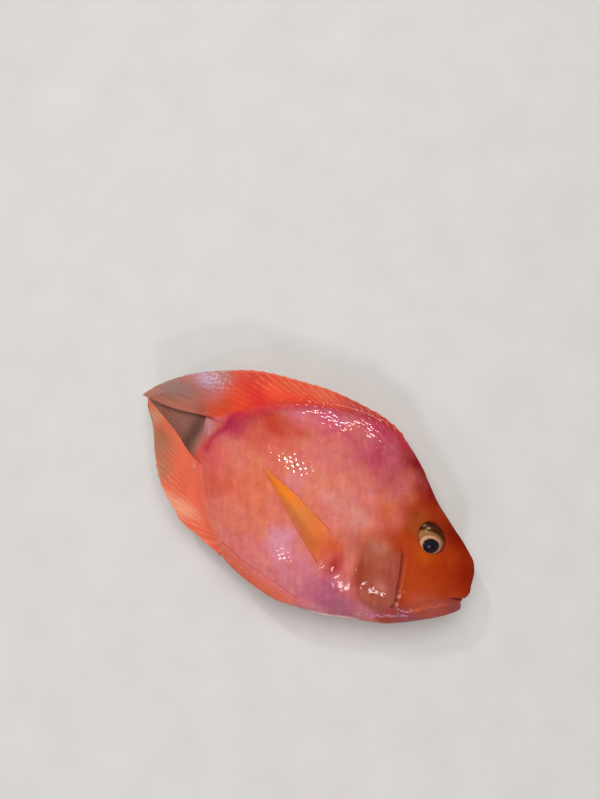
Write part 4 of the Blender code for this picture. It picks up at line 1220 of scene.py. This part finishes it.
def eye_frame(side):
    """The eye's centre, and directions out of the pupil, to the fish's back and across."""
    normal = flank_normal(EYE_S, EYE_H)
    centre = np.array([EYE_S, EYE_H, flank(EYE_S, EYE_H)]) - normal * EYE_SUNK
    axis = np.array(PUPIL_AT) - centre
    axis /= np.linalg.norm(axis)
    dorsal = np.array([0.0, 1.0, 0.0])
    dorsal -= (dorsal @ axis) * axis
    dorsal /= np.linalg.norm(dorsal)
    across = np.cross(dorsal, axis)
    flip = np.array([1.0, 1.0, side])
    turned = [centre * flip, axis * flip, dorsal * flip, across * flip]
    return turned


EYE_SECTORS = 96


def eye_shell(name, side, thetas, radii, shader):
    """A dome about the eye's axis, with a radius for each angle off the axis and each turn about it."""
    sectors = EYE_SECTORS
    centre, axis, dorsal, across = eye_frame(side)
    turn = np.linspace(0.0, 2 * np.pi, sectors, endpoint=False)
    theta = thetas[:, None]
    direction = (
        np.cos(theta)[..., None] * axis
        + (np.sin(theta) * np.cos(turn))[..., None] * dorsal
        + (np.sin(theta) * np.sin(turn))[..., None] * across
    )
    points = centre + direction * radii[..., None]
    rows = len(thetas)
    flat = world(points[..., 0], points[..., 1], points[..., 2]).reshape(-1, 3)
    ends = np.stack([flat[:sectors].mean(axis=0), flat[-sectors:].mean(axis=0)])
    faces = grid_faces(rows, sectors, True).tolist()
    last = (rows - 1) * sectors
    for sector in range(sectors):
        after = (sector + 1) % sectors
        faces.append((after, sector, rows * sectors))
        faces.append((last + sector, last + after, rows * sectors + 1))
    piece = mesh_object(name, np.concatenate([flat, ends]), faces, shader)
    return piece, theta + 0 * turn, turn + 0 * theta


PUPIL_ANGLE = np.radians(30.5)
PUPIL_FLATNESS = 0.13
IRIS_BROWN = (72, 27, 7)
IRIS_OLIVE = (88, 52, 22)
IRIS_TAN = (158, 114, 76)
IRIS_LINE = (118, 74, 40)
IRIS_CREAM = (204, 154, 126)
IRIS_GOLD = (172, 104, 50)
EYE_GLINT_COLOUR = (222, 204, 150)
# Each painted glint on the eye: its angle off the axis, its turn, their reaches in degrees, and its strength.
EYE_GLINTS = [(67.0, 40.0, 3.6, 5.5, 0.8), (60.0, 52.0, 5.0, 5.0, 0.35), (88.0, 52.0, 9.0, 6.0, 0.5)]


def pupil_angle(turn):
    """Where the pupil ends, as an angle off the eye's axis: it is a little flattened."""
    return PUPIL_ANGLE * (1 - PUPIL_FLATNESS * np.cos(turn) ** 2)


def iris_tint(theta, turn):
    """Colours of the iris: cream round the pupil, tan over it, dark olive toward the back, and a few painted glints.
    """
    off = np.degrees(theta - pupil_angle(turn))
    dorsal = np.cos(turn + 0.1)
    fibres = 0.5 + 0.25 * np.sin(turn * 61 + off * 0.12) + 0.25 * np.sin(turn * 37 - off * 0.2 + 1.0)
    patchy = 0.5 + 0.5 * np.sin(turn * 5.0 + 0.7) * np.sin(off * 0.25 + turn * 3.0)
    shade = np.broadcast_to(linear(IRIS_TAN), theta.shape + (3,)).copy()

    def lay(colour, share):
        nonlocal shade
        shade = shade + (linear(colour) - shade) * np.clip(share, 0, 1)[..., None]

    lay(IRIS_GOLD, 0.3 * (1 - dorsal) / 2 + 0.25 * fibres)
    lay(IRIS_OLIVE, smooth_step((off * (0.35 + 0.65 * dorsal) - 17.0) / 5.0) * (0.75 + 0.25 * patchy))
    lay(IRIS_BROWN, smooth_step((off * (0.3 + 0.7 * dorsal) - 21.0) / 6.0) * (0.6 + 0.4 * patchy))
    lay(IRIS_LINE, 0.8 * bump_of((off - 15.0 - 1.2 * patchy) / 2.2))
    ring_width = 11.0 + 3.0 * (1 - np.abs(dorsal)) - 1.0 * dorsal
    lay(IRIS_CREAM, (1 - smooth_step((off - ring_width * 0.75) / (ring_width * 0.5))) * (0.95 - 0.3 * (dorsal > 0.4)))
    lay(IRIS_BROWN, 0.8 * smooth_step((off - 15.0) / 4.0) * smooth_step((-dorsal - 0.1) / 0.4))
    lay(IRIS_BROWN, smooth_step((off - 40.0) / 6.0))
    for off_axis, turned, reach, span, strength in EYE_GLINTS:
        eye_glint = bump_of((np.degrees(theta) - off_axis) / reach) * bump_of((np.degrees(turn) - turned) / span)
        lay(EYE_GLINT_COLOUR, strength * eye_glint)
    shade = shade * (0.9 + 0.2 * fibres)[..., None]
    rim = bump_of(off / 1.1)[..., None]
    return shade * (1 - 0.75 * rim)


def make_eye(side, word, iris_shader, pupil_shader, cornea_shader):
    thetas = np.radians(np.linspace(2.0, 150.0, 110))
    turns = np.linspace(0.0, 2 * np.pi, EYE_SECTORS, endpoint=False)[None, :]
    off = np.degrees(thetas[:, None] - pupil_angle(turns))
    dish = 4.7 + 0.10 * bump_of((off - 2.5) / 2.6) - 0.5 * smooth_step(-off / 3.0)
    ball, theta, turn = eye_shell(f"iris_{word}", side, thetas, dish, iris_shader)
    shade = iris_tint(theta, turn).reshape(-1, 3)
    paint(ball, "tint", np.concatenate([shade, shade[:1], shade[-1:]]))
    lens_thetas = np.radians(np.linspace(1.0, 34.0, 24))
    lens = (4.62 + 0.2 * np.cos(lens_thetas * 2.4))[:, None] + 0 * turns
    pupil = eye_shell(f"pupil_{word}", side, lens_thetas, lens, pupil_shader)[0]
    front = np.radians(np.linspace(2.0, 120.0, 60))
    cornea = eye_shell(f"cornea_{word}", side, front, EYE_RADIUS + 0 * front[:, None] * turns, cornea_shader)[0]
    return [ball, pupil, cornea]


# Shaders.

class Nodes:
    """A short way to write a material's nodes."""

    def __init__(self, name):
        self.material = bpy.data.materials.new(name)
        self.material.use_nodes = True
        self.tree = self.material.node_tree
        self.shader = self.tree.nodes["Principled BSDF"]
        self.coordinates = self.tree.nodes.new("ShaderNodeTexCoord").outputs["Object"]

    def add(self, kind, **inputs):
        node = self.tree.nodes.new("ShaderNode" + kind)
        for key, value in inputs.items():
            socket = node.inputs[key.replace("_", " ")]
            if isinstance(value, bpy.types.NodeSocket):
                self.tree.links.new(value, socket)
            else:
                socket.default_value = value
        return node

    def attribute(self, name, output):
        node = self.tree.nodes.new("ShaderNodeAttribute")
        node.attribute_name = name
        return node.outputs[output]

    def noise(self, scale, detail=3.0, roughness=0.55, vector=None):
        node = self.add("TexNoise", Vector=vector or self.coordinates, Scale=scale, Detail=detail)
        node.inputs["Roughness"].default_value = roughness
        return node.outputs["Fac"]

    def stretched(self, turn, sizes):
        node = self.add("Mapping", Vector=self.coordinates)
        node.inputs["Rotation"].default_value = (0.0, 0.0, turn)
        node.inputs["Scale"].default_value = sizes
        return node.outputs["Vector"]

    def math(self, operation, first, second=0.0, third=0.0):
        node = self.tree.nodes.new("ShaderNodeMath")
        node.operation = operation
        for socket, value in zip(node.inputs, (first, second, third)):
            if isinstance(value, bpy.types.NodeSocket):
                self.tree.links.new(value, socket)
            else:
                socket.default_value = value
        return node.outputs[0]

    def ranged(self, value, low, high, to_low, to_high):
        node = self.add("MapRange", Value=value)
        for key, number in (("From Min", low), ("From Max", high), ("To Min", to_low), ("To Max", to_high)):
            node.inputs[key].default_value = number
        return node.outputs[0]

    def mix(self, factor, first, second, blend="MIX"):
        node = self.tree.nodes.new("ShaderNodeMix")
        node.data_type = "RGBA"
        node.blend_type = blend
        for socket, value in zip((node.inputs[0], node.inputs[6], node.inputs[7]), (factor, first, second)):
            if isinstance(value, bpy.types.NodeSocket):
                self.tree.links.new(value, socket)
            else:
                socket.default_value = value
        return node.outputs[2]

    def set(self, **inputs):
        for key, value in inputs.items():
            socket = self.shader.inputs[key.replace("_", " ")]
            if isinstance(value, bpy.types.NodeSocket):
                self.tree.links.new(value, socket)
            else:
                socket.default_value = value

    def bump(self, height, strength, distance, below=None):
        node = self.add("Bump", Height=height, Strength=strength, Distance=distance)
        if below is not None:
            self.tree.links.new(below, node.inputs["Normal"])
        return node.outputs["Normal"]


def skin_shader():
    """Wet skin: the painted markings, mottled, speckled and streaked, with painted shade in its creases, under a film
    of slime.
    """
    n = Nodes("wet_skin")
    tint = n.attribute("tint", "Color")
    mottle = n.ranged(n.noise(420.0, 4.0), 0.3, 0.7, 0.0, 1.0)
    colour = n.mix(mottle, n.mix(1.0, tint, (0.90, 0.80, 0.80, 1.0), "MULTIPLY"), tint)
    streaks = n.noise(1.0, 3.0, 0.6, n.stretched(-0.548, (700.0, 120.0, 300.0)))
    streaks = n.ranged(streaks, 0.35, 0.7, 0.0, 0.55)
    colour = n.mix(streaks, colour, n.mix(1.0, colour, (1.12, 1.02, 0.82, 1.0), "MULTIPLY"))
    speckle = n.ranged(n.noise(3600.0, 2.0), 0.56, 0.72, 0.0, 0.5)
    colour = n.mix(speckle, colour, n.mix(1.0, colour, (0.86, 0.52, 0.42, 1.0), "MULTIPLY"))
    pearl = n.math("MULTIPLY", n.attribute("rim", "Fac"), 0.05)
    colour = n.mix(pearl, colour, (0.86, 0.48, 0.46, 1.0))
    # Painted shade: creases, grooves, pits, the mouth slit and the ring round the eye darken toward a deep red.
    crease_shade = n.math("MULTIPLY", n.attribute("crease_shade", "Fac"), 0.85)
    colour = n.mix(crease_shade, colour, (0.16, 0.015, 0.012, 1.0))
    rough = n.ranged(n.noise(900.0, 3.0), 0.3, 0.7, 0.26, 0.44)
    low = n.bump(n.noise(760.0, 3.0), 0.55, 0.00008)
    fine = n.bump(n.noise(5200.0, 2.0), 0.25, 0.00002, low)
    n.set(Base_Color=colour, Roughness=rough, Normal=fine)
    n.set(Subsurface_Weight=0.08, Subsurface_Scale=0.0009, Subsurface_Radius=(1.0, 0.32, 0.2))
    n.set(Coat_Weight=n.math("MULTIPLY", n.attribute("wet", "Fac"), 0.24))
    n.set(Coat_Roughness=0.045, Coat_IOR=1.6, Specular_IOR_Level=0.0)
    return n.material


def fin_shader():
    """Wet fin: painted rays and membrane, clearer toward the edge."""
    n = Nodes("wet_fin")
    tint = n.attribute("tint", "Color")
    grain = n.ranged(n.noise(2600.0, 3.0), 0.35, 0.7, 0.0, 0.6)
    colour = n.mix(grain, tint, n.mix(1.0, tint, (0.88, 0.62, 0.56, 1.0), "MULTIPLY"))
    blotch = n.ranged(n.noise(380.0, 3.0), 0.35, 0.65, 0.0, 0.5)
    colour = n.mix(blotch, colour, n.mix(1.0, colour, (1.1, 1.0, 0.86, 1.0), "MULTIPLY"))
    alpha = n.math("SUBTRACT", 1.0, n.attribute("clear", "Fac"))
    rough = n.ranged(n.noise(1200.0, 3.0), 0.3, 0.7, 0.22, 0.4)
    bump = n.bump(n.noise(2400.0, 3.0), 0.4, 0.00005)
    n.set(Base_Color=colour, Roughness=rough, Normal=bump, Alpha=alpha)
    n.set(Coat_Weight=0.16, Coat_Roughness=0.1, Coat_IOR=1.6, Specular_IOR_Level=0.0)
    return n.material


def iris_shader():
    n = Nodes("iris")
    tint = n.attribute("tint", "Color")
    flecks = n.ranged(n.noise(2600.0, 3.0), 0.4, 0.7, 0.0, 0.5)
    colour = n.mix(flecks, tint, n.mix(1.0, tint, (0.62, 0.5, 0.4, 1.0), "MULTIPLY"))
    bump = n.bump(n.noise(3800.0, 3.0), 0.4, 0.00005)
    n.set(Base_Color=colour, Roughness=n.ranged(n.noise(1800.0), 0.3, 0.7, 0.28, 0.4), Normal=bump)
    n.set(Specular_IOR_Level=0.0)
    return n.material


def pupil_shader():
    n = Nodes("pupil")
    haze = n.ranged(n.noise(900.0, 2.0), 0.3, 0.7, 0.0, 1.0)
    colour = n.mix(haze, (0.006, 0.003, 0.006, 1.0), (0.014, 0.009, 0.016, 1.0))
    n.set(Base_Color=colour, Roughness=n.ranged(haze, 0.0, 1.0, 0.14, 0.22), Specular_IOR_Level=0.2)
    return n.material


def cornea_shader():
    """Clear and wet: it mirrors by its Fresnel share and lets the rest of the light straight in."""
    n = Nodes("cornea")
    n.tree.nodes.remove(n.shader)
    fresnel = n.math("MINIMUM", n.math("MULTIPLY", n.add("Fresnel", IOR=1.36).outputs[0], 0.2), 0.012)
    clear = n.add("BsdfTransparent").outputs[0]
    gloss = n.add("BsdfGlossy", Roughness=0.05).outputs[0]
    mixed = n.tree.nodes.new("ShaderNodeMixShader")
    for socket, value in zip(mixed.inputs, (fresnel, clear, gloss)):
        n.tree.links.new(value, socket)
    n.tree.links.new(mixed.outputs[0], n.tree.nodes["Material Output"].inputs["Surface"])
    return n.material


def floor_shader():
    n = Nodes("pale_floor")
    grain = n.ranged(n.noise(60.0, 5.0), 0.3, 0.7, 0.0, 1.0)
    n.set(Base_Color=n.mix(grain, (0.62, 0.615, 0.60, 1.0), (0.66, 0.655, 0.64, 1.0)), Roughness=0.6)
    return n.material


# Camera, floor and light.

CAMERA_AT = (5.865, -12.505, 244.92)
CAMERA_ROLL = np.radians(31.379)
CAMERA_ELEVATION = np.radians(80.0)
LENS = 35.0
LONG_SIDE = 36.0


def make_camera():
    right = np.array([np.cos(CAMERA_ROLL), np.sin(CAMERA_ROLL), 0.0])
    level = np.array([-np.sin(CAMERA_ROLL), np.cos(CAMERA_ROLL), 0.0])
    forward = np.cos(CAMERA_ELEVATION) * level - np.sin(CAMERA_ELEVATION) * np.array([0.0, 0.0, 1.0])
    up = np.cross(right, forward)
    data = bpy.data.cameras.new("camera")
    data.sensor_fit = "VERTICAL"
    data.sensor_height = LONG_SIDE
    data.lens = LENS
    data.clip_start = 0.01
    camera = bpy.data.objects.new("camera", data)
    turn = Matrix(np.stack([right, up, -forward], axis=1).tolist()).to_4x4()
    turn.translation = [value * MM for value in CAMERA_AT]
    camera.matrix_world = turn
    bpy.context.scene.collection.objects.link(camera)
    bpy.context.scene.camera = camera


def area_light(name, azimuth, elevation, size, power, colour, mirrored, lit=True):
    """A soft box that faces the fish from DISTANCE away. Some of them the wet skin doesn't mirror."""
    data = bpy.data.lights.new(name, "AREA")
    data.shape = "RECTANGLE"
    data.size, data.size_y = size
    data.energy = power
    data.color = colour
    lamp = bpy.data.objects.new(name, data)
    lamp.visible_glossy = mirrored
    lamp.visible_diffuse = lit
    turn, rise = np.radians(azimuth), np.radians(elevation)
    back = np.array([np.cos(rise) * np.cos(turn), np.cos(rise) * np.sin(turn), np.sin(rise)])
    side = np.array([-np.sin(turn), np.cos(turn), 0.0])
    matrix = Matrix(np.stack([side, np.cross(back, side), back], axis=1).tolist()).to_4x4()
    matrix.translation = (back * LIGHT_DISTANCE).tolist()
    lamp.matrix_world = matrix
    bpy.context.scene.collection.objects.link(lamp)


LIGHT_DISTANCE = 0.8
WARM = (1.0, 0.97, 0.93)
DAYLIGHT = (0.96, 0.95, 1.0)
BACK_WINDOWS = [(113, 15), (106, 8), (99, 3), (92, 12), (119, 5)]


def make_lights():
    sky = bpy.data.worlds.new("soft_room")
    sky.use_nodes = True
    sky.node_tree.nodes["Background"].inputs["Color"].default_value = (1.0, 0.98, 0.96, 1.0)
    sky.node_tree.nodes["Background"].inputs["Strength"].default_value = 0.22
    bpy.context.scene.world = sky
    area_light("overhead", 130, 78, (0.5, 0.5), 4.7, WARM, False)
    for number, (azimuth, elevation) in enumerate(BACK_WINDOWS):
        area_light(f"window_{number}", azimuth, elevation, (0.10, 0.05), 0.8, DAYLIGHT, True, False)
    area_light("tail_window", 154, 52, (0.02, 0.06), 0.75, DAYLIGHT, True)
    area_light("belly_window", -61, 40, (0.10, 0.09), 1.1, DAYLIGHT, True)
    area_light("side_window", -109, 44, (0.04, 0.07), 0.4, DAYLIGHT, True)


def make_floor(shader):
    side = 0.4
    corners = [(-side, -side, 0), (side, -side, 0), (side, side, 0), (-side, side, 0)]
    floor = mesh_object("floor", corners, [(0, 1, 2, 3)], shader)
    floor.location.z = -0.00002


def keep(piece, slot, *nodes):
    """Rides a piece on the fish and hides the solids that it stands for. Its finish's slot is not used."""
    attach(piece, "root")
    if nodes:
        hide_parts(*nodes)


def make_fish():
    skin = skin_shader()
    fin = fin_shader()
    flesh = ("head", "lower_jaw", "trunk", "tail_peduncle", "gill_cover_right", "gill_cover_left")
    keep(make_skin(skin), "flank", *flesh)
    unrolled = Unrolled()
    shaders = (iris_shader(), pupil_shader(), cornea_shader())
    for side, word in ((1, "right"), (-1, "left")):
        for piece in make_scales(unrolled, side, word, skin):
            keep(piece, "flank")
        for piece in make_eye(side, word, *shaders):
            keep(piece, "eye", "eye_" + word)
        keep(make_pectoral(side, word, fin), "amber_fin", "pectoral_fin_" + word)
        keep(make_pelvic(side, word, fin), "orange_fin", "pelvic_fin_" + word)
    keep(make_dorsal(fin), "orange_fin", "dorsal_fin")
    keep(make_anal(fin), "orange_fin", "anal_fin")
    keep(make_caudal(fin), "clear_fin", "caudal_fin")


bpy.context.scene.view_settings.view_transform = "Standard"
make_camera()
make_lights()
make_floor(floor_shader())
make_fish()
